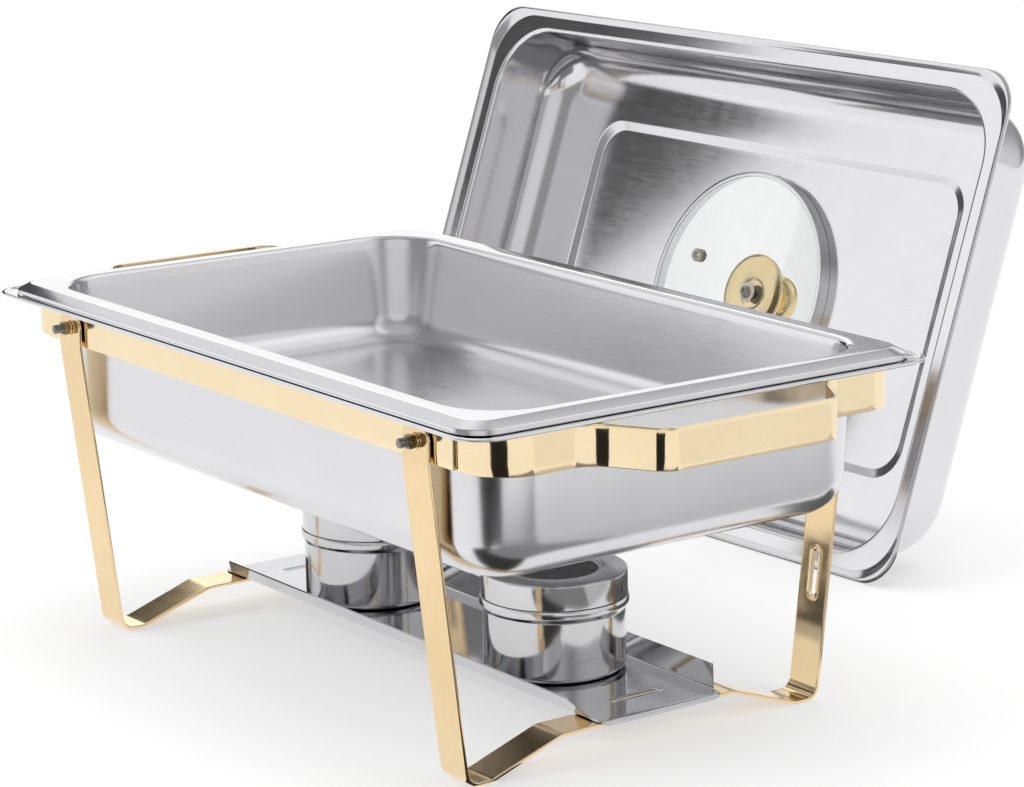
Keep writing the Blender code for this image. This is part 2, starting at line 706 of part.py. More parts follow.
def build_can(tag, can_body, cover_body):
    """Fuel can cup with a bead, and its lift-off cover with a round opening."""
    seat = CAN_H - COVER_SKIRT - GAP             # height of the ledge the cover rests on
    neck = COVER_R - COVER_T - GAP - 0.0001      # outer radius inside the cover
    wall = CAN_WALL
    top = CAN_H - COVER_T - GAP
    b = CAN_BEAD
    outer = [(neck - wall, top), (neck, top), (neck, seat + 0.0002), (COVER_R, seat),
             (COVER_R + b * 0.4, seat - b), (COVER_R + b * 0.4, seat - 2.2 * b),
             (CAN_R, seat - 3.4 * b)]
    foot = arc((CAN_R - CAN_FLOOR_R, CAN_FLOOR_R), CAN_FLOOR_R, 0, -90, 4)
    inner = [(0, wall)]
    inner += arc((CAN_R - CAN_FLOOR_R, CAN_FLOOR_R), CAN_FLOOR_R - wall, -90, 0, 3)
    inner += [(CAN_R - wall, seat - 3.6 * b), (neck - wall, seat - 2.4 * b)]
    lathe(f"{tag}_can", outer + foot + [(0, 0)] + inner, "bright", can_body, CAN_SEGMENTS,
          closed=True)
    h = COVER_HOLE_R
    crown = 0.0012
    skirt = [(h, CAN_H - COVER_T), (h, CAN_H), (COVER_R - crown, CAN_H),
             (COVER_R - crown * 0.3, CAN_H - crown * 0.3), (COVER_R, CAN_H - crown),
             (COVER_R, CAN_H - COVER_SKIRT), (COVER_R - COVER_T, CAN_H - COVER_SKIRT),
             (COVER_R - COVER_T, CAN_H - COVER_T)]
    cover = lathe(f"{tag}_can_cover", skirt, "bright", cover_body, CAN_SEGMENTS, closed=True)
    angle = math.radians(31)
    axis = (math.cos(angle), math.sin(angle), 0)
    centre = (COVER_R * axis[0], COVER_R * axis[1], CAN_H - 0.0100)
    cut(cover, rod_cutter(f"{tag}_cover_hole", COVER_SIDE_HOLE_R, 0.006, centre, axis,
                          cover_body, 12))


# ================================================================== lid
PANEL_Z = LID_DEPTH + PANEL_RISE   # middle surface of the stepped panel


def build_lid(lid):
    """Lid shell, glazed window, vent and knob, in the lid's own frame with the dome up."""
    t = SHEET
    half_l, half_w = LID_L / 2, LID_W / 2
    b = LID_BEAD
    edge = 2.1 * b
    lip = 0.0035
    open_l, open_w = half_l - LID_FLANGE, half_w - LID_FLANGE
    inner = edge + LID_LIP
    rows = [(half_l - edge, half_w - edge, LID_CORNER - edge, 0.0),
            (half_l - inner, half_w - inner, LID_CORNER - inner, LID_LIP)]
    for a, b_, r, z in wall_rows(open_l, open_w, LID_CORNER + 0.024, -LID_LIP, -LID_DEPTH,
                                 LID_TAPER, lip, LID_FILLET, 6):
        rows.append((a, b_, r, -z))
    step = 0.0030
    rows.append((PANEL_L / 2 + step, PANEL_W / 2 + step, 0.0260, LID_DEPTH))
    rows.append((PANEL_L / 2, PANEL_W / 2, 0.0240, PANEL_Z))
    bead = []
    for a in (120, 60, 0, -60, -120, -160):
        r = math.radians(a)
        o = b * (math.cos(r) - 1)
        bead.append((half_l + o, half_w + o, LID_CORNER + o, t / 2 + b * math.sin(r)))
    shell = sheet_shell("lid_shell", rows, t, "satin", lid, bead=bead[::-1])
    cut(shell, rod_cutter("window_cut", WINDOW_R, 0.02, (0, 0, PANEL_Z), (0, 0, 1), lid,
                          GLASS_SEGMENTS))
    build_window(lid)


def build_window(lid):
    """Steel ring, domed glass, vent grommet, knob, washer and screw."""
    top = PANEL_Z + SHEET / 2
    w = BEZEL_WALL
    wall_r = WINDOW_R - GAP
    low = PANEL_Z - SHEET / 2 - BEZEL_DROP
    seat = low + w
    flange_r = WINDOW_R + BEZEL_FLANGE
    lip_r = wall_r - w - BEZEL_LIP
    ring = [(wall_r - w, top + GAP + w), (flange_r, top + GAP + w), (flange_r, top + GAP),
            (wall_r, top + GAP), (wall_r, low + w * 0.5), (wall_r - w * 0.5, low),
            (lip_r, low), (lip_r, seat), (wall_r - w, seat)]
    lathe("lid_bezel", ring, "bright", lid, GLASS_SEGMENTS, closed=True)
    glass_r = wall_r - w - GAP
    glass_low = seat + GAP
    hole = SCREW_R + 0.0006
    under = []
    over = []
    steps = 5
    for i in range(steps + 1):
        r = hole + (glass_r - hole) * i / steps
        z = glass_low + GLASS_SAG * (1 - (r / glass_r) ** 2)
        over.append((r, z + GLASS_T))
        under.append((r, z))
    glass = lathe("lid_glass", over + under[::-1], "glass", lid, GLASS_SEGMENTS, closed=True)
    vx, vy = VENT_AT
    vr = math.hypot(vx, vy)
    vz = glass_low + GLASS_SAG * (1 - (vr / glass_r) ** 2) + GLASS_T / 2
    slope = 2 * GLASS_SAG * vr / glass_r ** 2
    normal = Vector((vx / vr * slope, vy / vr * slope, 1)).normalized()
    cut(glass, rod_cutter("vent_cut", VENT_R + 0.0008, 0.02, (vx, vy, vz), normal, lid, 16))
    half = GLASS_T / 2 + 0.0005
    rim = 0.0007
    spool = [(VENT_R - 0.0010, half + rim), (VENT_FLANGE_R, half + rim), (VENT_FLANGE_R, half),
             (VENT_R, half), (VENT_R, -half), (VENT_FLANGE_R, -half),
             (VENT_FLANGE_R, -half - rim), (VENT_R - 0.0010, -half - rim)]
    turn = Vector((0, 0, 1)).rotation_difference(normal).to_euler()
    lathe("vent_grommet", spool, "bright", lid, 24, (vx, vy, vz), turn, closed=True)
    crown = glass_low + GLASS_SAG + GLASS_T
    build_knob(lid, crown + GAP)
    build_screw(lid, glass_low + GLASS_SAG)


def build_knob(lid, base):
    """Turned knob: wide foot, narrow neck, round head, blind screw hole."""
    bore = SCREW_R + 0.0004
    foot = [(KNOB_BASE_R, base + 0.0004), (KNOB_BASE_R - 0.0008, base)]
    bell = [(0.0130, base + 0.0115), (0.0155, base + 0.0085), (0.0205, base + 0.0062),
            (0.0262, base + 0.0043), (0.0300, base + 0.0026), (KNOB_BASE_R, base + 0.0012)]
    head_mid = base + KNOB_H - 0.0115
    crown = arc((0, head_mid), 1.0, 90, -50, 9)
    head = [(KNOB_HEAD_R * x, head_mid + 0.0115 * (z - head_mid)) for x, z in crown]
    head[0] = (0.0, base + KNOB_H)
    neck = [(0.0118, base + 0.0165)]
    hole = [(bore, base), (bore, base + 0.0130), (0.0, base + 0.0130)]
    lathe("knob", head + neck + bell + foot + hole, "gilt", lid, KNOB_SEGMENTS)


def build_screw(lid, under):
    """Washer and cross-head screw that hold the knob, below the glass."""
    hole = SCREW_R + 0.0004
    washer_top = under - 2 * GAP
    washer_low = washer_top - KNOB_WASHER_T
    ring = [(hole, washer_top), (KNOB_WASHER_R, washer_top), (KNOB_WASHER_R, washer_low),
            (hole, washer_low)]
    lathe("knob_washer", ring, "rubber", lid, KNOB_SEGMENTS, closed=True)
    head_top = washer_low - GAP
    tip = under + GLASS_T + 0.0110
    dome = [(SCREW_HEAD_R, head_top - 0.0012), (SCREW_HEAD_R * 0.86, head_top - 0.0022),
            (SCREW_HEAD_R * 0.5, head_top - SCREW_HEAD_T)]
    profile = [(0, tip), (SCREW_R - 0.0004, tip), (SCREW_R, tip - 0.0005), (SCREW_R, head_top),
               (SCREW_HEAD_R, head_top)] + dome + [(0, head_top - SCREW_HEAD_T)]
    screw = lathe("knob_screw", profile, "dark", lid, 24)
    face = head_top - SCREW_HEAD_T
    arm, wide = 0.0024, 0.0005
    for tag, size in (("a", (arm, wide)), ("b", (wide, arm))):
        low = (-size[0], -size[1], face - 0.001)
        high = (size[0], size[1], face + 0.0015)
        cut(screw, box_cutter(f"screw_cross_{tag}", low, high, lid))


# ================================================================== assembly
def lid_matrix():
    """Pose of the lid standing on its long edge, leaning back, inside facing forwards."""
    along = Vector((math.cos(LID_HEADING), math.sin(LID_HEADING), 0))
    back = Vector((-math.sin(LID_HEADING), math.cos(LID_HEADING), 0))
    up = math.cos(LID_LEAN) * Vector((0, 0, 1)) + math.sin(LID_LEAN) * back
    dome = up.cross(along)
    turn = Matrix((along, -up, dome)).transposed().to_4x4()
    centre = Vector((*LID_AT, 0)) + up * (LID_W / 2)
    return Matrix.Translation(centre) @ turn


def evaluated_bounds(objects):
    """World box of finished objects, modifiers applied."""
    graph = bpy.context.evaluated_depsgraph_get()
    low = Vector((1e9, 1e9, 1e9))
    high = -low
    for obj in objects:
        shaped = obj.evaluated_get(graph)
        mesh = shaped.to_mesh()
        for v in mesh.vertices:
            p = obj.matrix_world @ v.co
            low = Vector(map(min, low, p))
            high = Vector(map(max, high, p))
        shaped.to_mesh_clear()
    return low, high


def main():
    """Build every piece, stand the lid on the floor and centre the set on the origin."""
    clear_scene()
    root = empty("chafing_dish")
    frame = empty("frame_body", root)
    build_rails(frame)
    build_end_band(frame, "left_end_band", -1)
    build_end_band(frame, "right_end_band", 1)
    for name, sx in (("left", -1), ("right", 1)):
        axis = empty(f"{name}_leg_axis", frame, (sx * PIVOT_X, 0, PIVOT_Z))
        build_leg_frame(f"{name}_leg_frame", sx, axis)
        for place, sy in (("front", -1), ("rear", 1)):
            build_pivot(f"{place}_{name}", sx, sy, frame)
    water = empty("water_body", root)
    build_water_pan(water)
    food = empty("food_body", water, (0, 0, RIM_Z))
    build_food_pan(food)
    tray = empty("tray_body", root, (0, TRAY_BACK, TRAY_Z))
    build_tray(tray)
    for tag, x in zip(("left", "right"), CAN_X):
        can = empty(f"{tag}_can_body", tray, (x, 0, TRAY_T + GAP))
        cover = empty(f"{tag}_cover_body", can)
        build_can(tag, can, cover)
    lid = empty("lid_body", root)
    lid.matrix_basis = lid_matrix()
    build_lid(lid)
    bpy.context.view_layer.update()
    shown = [o for o in bpy.data.objects if o.type == "MESH" and not o.hide_render]
    lid_low, _ = evaluated_bounds([o for o in shown if o.parent == lid])
    lid.location.z -= lid_low.z
    bpy.context.view_layer.update()
    low, high = evaluated_bounds(shown)
    root.location = (-(low.x + high.x) / 2, -(low.y + high.y) / 2, -low.z)
    bpy.context.view_layer.update()
    print("shift", [round(v, 6) for v in root.location], "size", [round(v, 5) for v in high - low])
    print("lid", [round(v, 6) for v in lid.matrix_world.translation])


main()
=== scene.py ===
"""Folding chafing dish: gilt strip frame, two pans, fuel tray with two cans, glazed lid.

Every size is in metres. X runs along the long side, Y from the front of the dish to the lid
behind it, Z up from the table. Each sub-assembly is a class that builds its own surfaces
from numpy arrays and dresses them in one of the finishes.
"""
from __future__ import annotations

import json
import logging
import math
from dataclasses import dataclass, field
from enum import Enum
from typing import Callable, Iterable, Sequence

import bpy
import numpy as np
from mathutils import Matrix, Vector
from numpy.typing import NDArray

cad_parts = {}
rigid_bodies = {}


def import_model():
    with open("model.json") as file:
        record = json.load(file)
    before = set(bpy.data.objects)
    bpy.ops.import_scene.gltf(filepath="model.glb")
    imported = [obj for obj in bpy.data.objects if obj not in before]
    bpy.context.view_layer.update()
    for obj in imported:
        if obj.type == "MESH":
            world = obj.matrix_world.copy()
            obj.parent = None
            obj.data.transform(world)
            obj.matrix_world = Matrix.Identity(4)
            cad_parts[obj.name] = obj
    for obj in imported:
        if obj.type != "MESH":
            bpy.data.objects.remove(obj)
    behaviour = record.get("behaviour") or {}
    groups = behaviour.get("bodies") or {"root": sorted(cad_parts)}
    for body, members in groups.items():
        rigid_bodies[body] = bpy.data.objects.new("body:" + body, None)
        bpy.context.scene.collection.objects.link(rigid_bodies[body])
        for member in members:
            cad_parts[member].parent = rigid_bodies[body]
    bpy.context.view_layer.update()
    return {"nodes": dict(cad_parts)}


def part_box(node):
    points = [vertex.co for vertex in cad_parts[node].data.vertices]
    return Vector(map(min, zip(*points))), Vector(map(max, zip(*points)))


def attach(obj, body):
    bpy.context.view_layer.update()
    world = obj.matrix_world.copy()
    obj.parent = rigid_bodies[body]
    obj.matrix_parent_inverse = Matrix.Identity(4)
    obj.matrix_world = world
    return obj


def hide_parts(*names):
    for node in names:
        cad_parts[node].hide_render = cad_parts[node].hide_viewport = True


for leftover in list(bpy.data.objects):
    bpy.data.objects.remove(leftover, do_unlink=True)
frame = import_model()

Array = NDArray[np.float64]
Index = NDArray[np.int64]
Point = tuple[float, float, float]
Colour = tuple[float, float, float]
Socket = bpy.types.NodeSocket
LOG = logging.getLogger("chafing_dish")

QUARTER = math.pi / 2
UP = Vector((0, 0, 1))
PATH_STEP = 0.012  # spacing of the points added along a strip
PRESS_STEP = 0.010  # the same along the section of a pressed sheet
ROLL_IN = 2.1  # the sheet leaves its rolled edge this many bead radii in
PUNCH_REACH = 0.004  # a cutter goes this far to each side of the sheet's middle
CORNER_STEPS, LONG_STEPS, SHORT_STEPS = 16, 26, 16  # splits of a loop's corners and sides
LEAST_CORNER, LEAST_SIDE = 0.004, 0.0005  # smallest corner radius and half side of a loop


# ================================================================== numpy shapes
def unit(vectors: Array) -> Array:
    """Scale vectors, held along the last axis, to length one.

    Args:
        vectors: any array whose last axis is a vector.

    Returns:
        The same array with each vector divided by its length.
    """
    return vectors / np.maximum(np.linalg.norm(vectors, axis=-1, keepdims=True), 1e-12)


def rounded_path(points: Sequence[Sequence[float]], radii: Sequence[float],
                 step: float) -> Array:
    """Round the inner corners of a path with circular arcs.

    A corner P between the directions d0 (back) and d1 (on) becomes the arc from P + s d0 to
    P + s d1, with s = radius * tan(turn / 2). Its points are the weighted blend of the start,
    the corner and the end with weights (1-t)^2, 2 t (1-t) cos(turn / 2) and t^2.

    Args:
        points: corner points of the path.
        radii: one radius for each inner corner; 0 keeps it sharp.
        step: largest turn between neighbouring points, in degrees.

    Returns:
        Points of the rounded path, one row each.
    """
    corners = np.asarray(points, float)
    out = [corners[:1]]
    for before, at, after, radius in zip(corners, corners[1:], corners[2:], radii):
        back, on = unit(before - at), unit(after - at)
        turn = math.pi - math.acos(float(np.clip(back @ on, -1.0, 1.0)))
        if radius <= 0 or turn < 1e-6:
            out.append(at[None])
            continue
        reach = radius * math.tan(turn / 2)
        t = np.linspace(0, 1, max(2, math.ceil(math.degrees(turn) / step)) + 1)[:, None]
        middle = 2 * math.cos(turn / 2) * t * (1 - t)
        weight = (1 - t) ** 2 + middle + t ** 2
        start, end = at + reach * back, at + reach * on
        out.append(((1 - t) ** 2 * start + middle * at + t ** 2 * end) / weight)
    out.append(corners[-1:])
    return np.concatenate(out)


def arc(centre: Sequence[float], radius: float, start: float, end: float, count: int) -> Array:
    """Points of a circular arc: centre + radius * (cos a, sin a), a even from start to end.

    Args:
        centre: centre of the circle.
        radius: its radius.
        start: first angle in degrees.
        end: last angle in degrees.
        count: number of points.

    Returns:
        The points, one row each.
    """
    a = np.radians(np.linspace(start, end, count))
    return np.asarray(centre, float) + radius * np.stack([np.cos(a), np.sin(a)], 1)


def lengths_along(path: Array) -> Array:
    """Distance of each point of a path from its start, along the path."""
    return np.concatenate([[0.0], np.cumsum(np.linalg.norm(np.diff(path, axis=0), axis=1))])


def refined(path: Array, step: float, fine: tuple[float, float, float] | None = None) -> Array:
    """Add points to a path so that long straights are split evenly.

    The new points lie at whole multiples of the step along the path, and at multiples of the
    finer step between two distances; those close to an old point are left out.

    Args:
        path: points, one row each.
        step: spacing of the new points.
        fine: (from, to, spacing) of a stretch that needs more points.

    Returns:
        The path with the new points in order.
    """
    s = lengths_along(path)
    extra = np.arange(step, s[-1], step)
    if fine is not None:
        extra = extra[(extra < fine[0]) | (extra > fine[1])]
    extra = extra[np.abs(extra[:, None] - s[None]).min(1) > 0.3 * step]
    if fine is not None:
        close = np.arange(fine[0], fine[1], fine[2])
        extra = np.concatenate([extra, close[np.abs(close[:, None] - s[None]).min(1) > 1e-5]])
    where = np.sort(np.concatenate([s, extra]))
    return np.stack([np.interp(where, s, path[:, k]) for k in range(path.shape[1])], 1)


def side_normals(path: Array) -> Array:
    """Left-hand normals of a plane path, mitred so that offset sides stay parallel.

    The normal at a point is at right angles to the mean of its two neighbouring directions
    and is lengthened by one over the cosine of half the turn, which is taken as 0.3 or more.

    Args:
        path: points, one row each.

    Returns:
        One normal for each point.
    """
    steps = unit(np.diff(path, axis=0))
    into, out_of = np.vstack([steps[:1], steps]), np.vstack([steps, steps[-1:]])
    mean = unit(into + out_of)
    stretch = 1 / np.clip(np.sum(mean * out_of, 1, keepdims=True), 0.3, 1.0)
    return np.stack([-mean[:, 1], mean[:, 0]], 1) * stretch


@dataclass
class Shell:
    """Closed surface that grows by whole grids of points."""

    blocks: list[Array] = field(default_factory=list)
    faces: list[Index] = field(default_factory=list)
    count: int = 0

    def grid(self, points: Array, close_rows: bool = False, close_cols: bool = True) -> Index:
        """Add a grid of points and the four-sided faces between its rows and columns.

        Args:
            points: array of rows by columns by 3.
            close_rows: join the last row to the first.
            close_cols: join the last column to the first.

        Returns:
            The point numbers, rows by columns.
        """
        rows, cols = points.shape[:2]
        index = self.count + np.arange(rows * cols).reshape(rows, cols)
        self.blocks.append(points.reshape(-1, 3))
        self.count += rows * cols
        down = np.roll(index, -1, 0) if close_rows else index[1:]
        here = index if close_rows else index[:-1]
        if close_cols:
            right, down_right = np.roll(here, -1, 1), np.roll(down, -1, 1)
        else:
            here, right, down, down_right = here[:, :-1], here[:, 1:], down[:, :-1], down[:, 1:]
        self.faces.append(np.stack([here, right, down_right, down], -1).reshape(-1, 4))
        return index

    def cap(self, ring: Index) -> None:
        """Close a ring of point numbers with one polygon."""
        self.faces.append(ring[None])

    def cap_ends(self, index: Index) -> None:
        """Close the first and the last row of a grid with one polygon each."""
        self.cap(index[0][::-1])
        self.cap(index[-1])

    def pole(self, ring: Index, point: Sequence[float]) -> None:
        """Close a ring with triangles that meet in one new point.

        Args:
            ring: point numbers in order.
            point: place of the new point.
        """
        self.blocks.append(np.asarray(point, float)[None])
        tip = np.full(len(ring), self.count)
        self.count += 1
        self.faces.append(np.stack([ring, np.roll(ring, -1), tip], 1))

    def build(self, name: str, place: Matrix | None = None, sharp: float = 35.0
              ) -> bpy.types.Object:
        """Turn the arrays into an object at the origin whose faces point outwards.

        The enclosed volume is the sum of p0 . (p1 x p2) / 6 over the triangles of every face;
        where it comes out negative all the faces are turned round.

        Args:
            name: object name.
            place: moves the points into the common frame.
            sharp: edges that bend by more than this many degrees stay crisp.

        Returns:
            The new object, linked to the scene.
        """
        points = np.concatenate(self.blocks)
        if place is not None:
            m = np.array(place)
            points = points @ m[:3, :3].T + m[:3, 3]
        volume = sum(float(np.einsum("ij,ij->", points[f[:, 0]],
                                     np.cross(points[f[:, k]], points[f[:, k + 1]])))
                     for f in self.faces for k in range(1, f.shape[1] - 1))
        faces = [f[:, ::-1] if volume < 0 else f for f in self.faces]
        sizes = np.concatenate([np.full(len(f), f.shape[1]) for f in faces])
        starts = np.concatenate([[0], np.cumsum(sizes)[:-1]])
        corners = np.concatenate([f.reshape(-1) for f in faces])
        mesh = bpy.data.meshes.new(name)
        mesh.vertices.add(len(points))
        mesh.vertices.foreach_set("co", points.astype(np.float32).reshape(-1))
        mesh.loops.add(len(corners))
        mesh.loops.foreach_set("vertex_index", corners.astype(np.int32))
        mesh.polygons.add(len(sizes))
        mesh.polygons.foreach_set("loop_start", starts.astype(np.int32))
        mesh.update(calc_edges=True)
        mesh.validate()
        mesh.shade_smooth()
        mesh.set_sharp_from_angle(angle=math.radians(sharp))
        obj = bpy.data.objects.new(name, mesh)
        bpy.context.scene.collection.objects.link(obj)
        return obj


def turned(profile: Array, segments: int, closed: bool = False,
           ripple: Callable[[Array, Array], Array] | None = None) -> Shell:
    """Spin a profile of (radius, height) rows round the Z axis.

    A point is (r cos a, r sin a, z), with a even round the circle. An open profile that
    starts or ends on the axis is closed there by a pole.

    Args:
        profile: rows of radius and height.
        segments: points round the circle.
        closed: the profile is a ring section whose last row meets the first.
        ripple: gives a radius change from the arrays of angle and row number.

    Returns:
        The closed surface.
    """
    a = np.linspace(0, 2 * math.pi, segments, endpoint=False)
    first = 0 if closed or profile[0, 0] > 1e-7 else 1
    last = len(profile) if closed or profile[-1, 0] > 1e-7 else len(profile) - 1
    rows = profile[first:last]
    r = np.repeat(rows[:, :1], segments, 1)
    if ripple is not None:
        r = r + ripple(a[None, :], np.arange(len(rows))[:, None])
    z = np.repeat(rows[:, 1:], segments, 1)
    shell = Shell()
    index = shell.grid(np.stack([r * np.cos(a), r * np.sin(a), z], -1), close_rows=closed)
    if not closed:
        for ring, row, on_axis in ((index[0][::-1], profile[0], first == 1),
                                   (index[-1], profile[-1], last < len(profile))):
            if on_axis:
                shell.pole(ring, (0.0, 0.0, row[1]))
            else:
                shell.cap(ring)
    return shell


def rod(radius: float, depth: float, segments: int) -> Shell:
    """Plain round cutter along Z, from -depth to depth."""
    return turned(np.array([(0, depth), (radius, depth), (radius, -depth), (0, -depth)]), segments)


def rounded_loops(half_l: Array, half_w: Array, corner: Array) -> Array:
    """Rounded rectangles, one for each entry of the size arrays.

    Each loop is four quarter circles of the corner radius about (+-(half_l - r),
    +-(half_w - r)), joined by evenly split straight sides.

    Args:
        half_l: half lengths.
        half_w: half widths.
        corner: corner radii.

    Returns:
        Array of loops by points by 2.
    """
    arcs = []
    for quarter, (sx, sy) in enumerate(((1, 1), (-1, 1), (-1, -1), (1, -1))):
        a = np.linspace(0, QUARTER, CORNER_STEPS + 1) + quarter * QUARTER
        x = sx * (half_l - corner)[:, None] + corner[:, None] * np.cos(a)
        y = sy * (half_w - corner)[:, None] + corner[:, None] * np.sin(a)
        arcs.append(np.stack([x, y], -1))
    parts = []
    for quarter in range(4):
        end, start = arcs[quarter][:, -1:], arcs[(quarter + 1) % 4][:, :1]
        steps = LONG_STEPS if quarter % 2 == 0 else SHORT_STEPS
        share = np.linspace(0, 1, steps + 1)[1:-1]
        parts += [arcs[quarter], end + (start - end) * share[None, :, None]]
    return np.concatenate(parts, 1)


@dataclass(frozen=True)
class Plan:
    """Plan sizes of a pressed sheet against the distance in from its outer edge."""

    inset: tuple[float, ...]
    half_l: tuple[float, ...]
    half_w: tuple[float, ...]
    corner: tuple[float, ...]

    def loops(self, section: Array) -> Array:
        """Loops of points for rows of (inset, height).

        Between the listed distances the sizes run straight; outside them they follow the
        inset one to one, so that a bead or a floor keeps parallel sides.

        Args:
            section: rows of inset and height.

        Returns:
            Array of rows by points by 3.
        """
        inset, height = section[:, 0], section[:, 1]
        beyond = np.minimum(inset - self.inset[0], 0) + np.maximum(inset - self.inset[-1], 0)
        half_l = np.interp(inset, self.inset, self.half_l) - beyond
        half_w = np.interp(inset, self.inset, self.half_w) - beyond
        corner = np.maximum(np.interp(inset, self.inset, self.corner) - beyond, LEAST_CORNER)
        corner = np.minimum(corner, half_w - LEAST_SIDE)
        flat = rounded_loops(half_l, half_w, corner)
        tall = np.broadcast_to(height[:, None, None], (*flat.shape[:2], 1))
        return np.concatenate([flat, tall], -1)


def both_sides(middle: Array, thickness: float) -> tuple[Array, Array]:
    """Upper and lower line of a section, half the thickness from its middle line.

    Args:
        middle: rows of (inset, height).
        thickness: distance between the two lines.

    Returns:
        The upper line and the lower line.
    """
    normal = side_normals(middle) * thickness / 2
    upper, lower = middle + normal, middle - normal
    return (lower, upper) if upper[0, 1] < lower[0, 1] else (upper, lower)


def rolled_edge(radius: float, height: float) -> Array:
    """Rows of (inset, height) round a bead: radius * (1 - cos a), height + radius * sin a."""
    a = np.radians(np.linspace(128, -128, 15))
    return np.stack([radius * (1 - np.cos(a)), height + radius * np.sin(a)], 1)


def pressed_sheet(plan: Plan, middle: Array, thickness: float, bead: Array) -> Shell:
    """Sheet of even thickness pressed to a rounded-rectangle pan.

    The middle line of the section is offset by half the thickness to both sides along its
    normals; the bead rows join the two sides round the outer edge, and the floor is closed
    by one flat polygon on each side.

    Args:
        plan: plan sizes against inset.
        middle: rows of (inset, height), from the outer edge to near the centre.
        thickness: sheet thickness.
        bead: rows of (inset, height) from the upper side round the edge to the lower side.

    Returns:
        The closed surface.
    """
    upper, lower = both_sides(middle, thickness)
    shell = Shell()
    shell.cap_ends(shell.grid(plan.loops(np.concatenate([upper[::-1], bead, lower]))))
    return shell


@dataclass(frozen=True)
class StripSection:
    """Section of a flat metal strip with rounded long edges."""

    thickness: float
    edge: float
    across: int

    def table(self) -> tuple[Array, Array, Array]:
        """Points round the section: offset through the thickness, side (-1..1), extra width.

        The two faces run straight from side -1 to 1; each edge is two quarter circles of
        the edge radius with the rest of the thickness between them.

        Returns:
            Three arrays of equal length.
        """
        flat = self.thickness / 2 - self.edge
        face = np.linspace(-1, 1, self.across + 1)
        up, down = np.radians([60, 30, 0]), np.radians([0, -30, -60])
        e = self.edge
        offset = [np.full(face.shape, self.thickness / 2), flat + e * np.sin(up),
                  -flat + e * np.sin(down), np.full(face.shape, -self.thickness / 2),
                  -flat + e * np.sin(down[::-1]), flat + e * np.sin(up[::-1])]
        side = [face, np.ones(6), face[::-1], -np.ones(6)]
        extra = [0 * face, e * np.cos(up), e * np.cos(down), 0 * face,
                 -e * np.cos(down[::-1]), -e * np.cos(up[::-1])]
        return np.concatenate(offset), np.concatenate(side), np.concatenate(extra)

    def sweep(self, path: Array, half: Array | float, place: Callable[..., Array],
              relief: Callable[[Array, Array], Array] | None = None) -> Shell:
        """Carry the section along a plane path.

        A point is path + normal * (offset + relief), and lies side * (half - edge) + extra
        across the strip.

        Args:
            path: rows of the strip's middle line.
            half: half width, for the whole strip or at each row.
            place: puts arrays of the two path axes and the across axis into 3-D.
            relief: height stamped into the strip, from distance along and across it.

        Returns:
            The closed surface with flat ends.
        """
        offset, side, extra = self.table()
        half_at = np.broadcast_to(np.asarray(half, float), (len(path),))
        across = side[None] * (half_at[:, None] - self.edge) + extra[None]
        depth = np.broadcast_to(offset[None], across.shape)
        if relief is not None:
            depth = depth + relief(lengths_along(path)[:, None], across)
        normal = side_normals(path)
        flat = path[:, None] + normal[:, None] * depth[..., None]
        shell = Shell()
        shell.cap_ends(shell.grid(place(flat[..., 0], flat[..., 1], across)))
        return shell


def upright(x: Array, y: Array, w: Array) -> Array:
    """Place a strip that stands on edge: its path lies in plan and its width is upright."""
    return np.stack([x, y, w], -1)


def crosswise(y: Array, z: Array, w: Array) -> Array:
    """Place a strip that lies across X: its path is upright and its width runs along X."""
    return np.stack([w, y, z], -1)


def slab(points: Array, thickness: float) -> Shell:
    """Give a sheet, held as an open grid of points, its thickness.

    The normals are the cross product of the two grid slopes; the sheet is offset by half
    the thickness both ways and its rim is closed by one row of faces.

    Args:
        points: rows by columns by 3.
        thickness: sheet thickness.

    Returns:
        The closed surface.
    """
    normal = unit(np.cross(np.gradient(points, axis=0), np.gradient(points, axis=1)))
    shell = Shell()
    top = shell.grid(points + normal * thickness / 2, close_cols=False)
    low = shell.grid(points - normal * thickness / 2, close_cols=False)
    shell.faces[-1] = shell.faces[-1][:, ::-1]
    rim = [np.concatenate([g[0, :-1], g[:-1, -1], g[-1, :0:-1], g[:0:-1, 0]]) for g in (top, low)]
    shell.faces.append(np.stack([rim[0], rim[1], np.roll(rim[1], -1), np.roll(rim[0], -1)], 1))
    return shell


def stadium_distance(along: Array, across: Array, length: float, width: float) -> Array:
    """Distance of points from the outline of a round-ended slot, negative inside it.

    It is the distance to the slot's middle line, which is (length - width) long, less half
    the width.

    Args:
        along: positions along the slot, from its middle.
        across: positions across it.
        length: length of the slot over its round ends.
        width: its width.

    Returns:
        One distance for each point.
    """
    past = np.maximum(np.abs(along) - (length - width) / 2, 0.0)
    return np.hypot(past, across) - width / 2


def stadium_prism(length: float, width: float, depth: float) -> Shell:
    """Round-ended prism along Z whose ends are two half circles joined by straight sides.

    Args:
        length: size in X over the round ends.
        width: size in Y.
        depth: it reaches from -depth to depth.

    Returns:
        The closed surface.
    """
    reach = (length - width) / 2
    ends = [arc((reach, 0), width / 2, -90, 90, 13), arc((-reach, 0), width / 2, 90, 270, 13)]
    ring = np.concatenate(ends)
    rows = [np.column_stack([ring, np.full(len(ring), z)]) for z in (-depth, depth)]
    shell = Shell()
    shell.cap_ends(shell.grid(np.stack(rows)))
    return shell


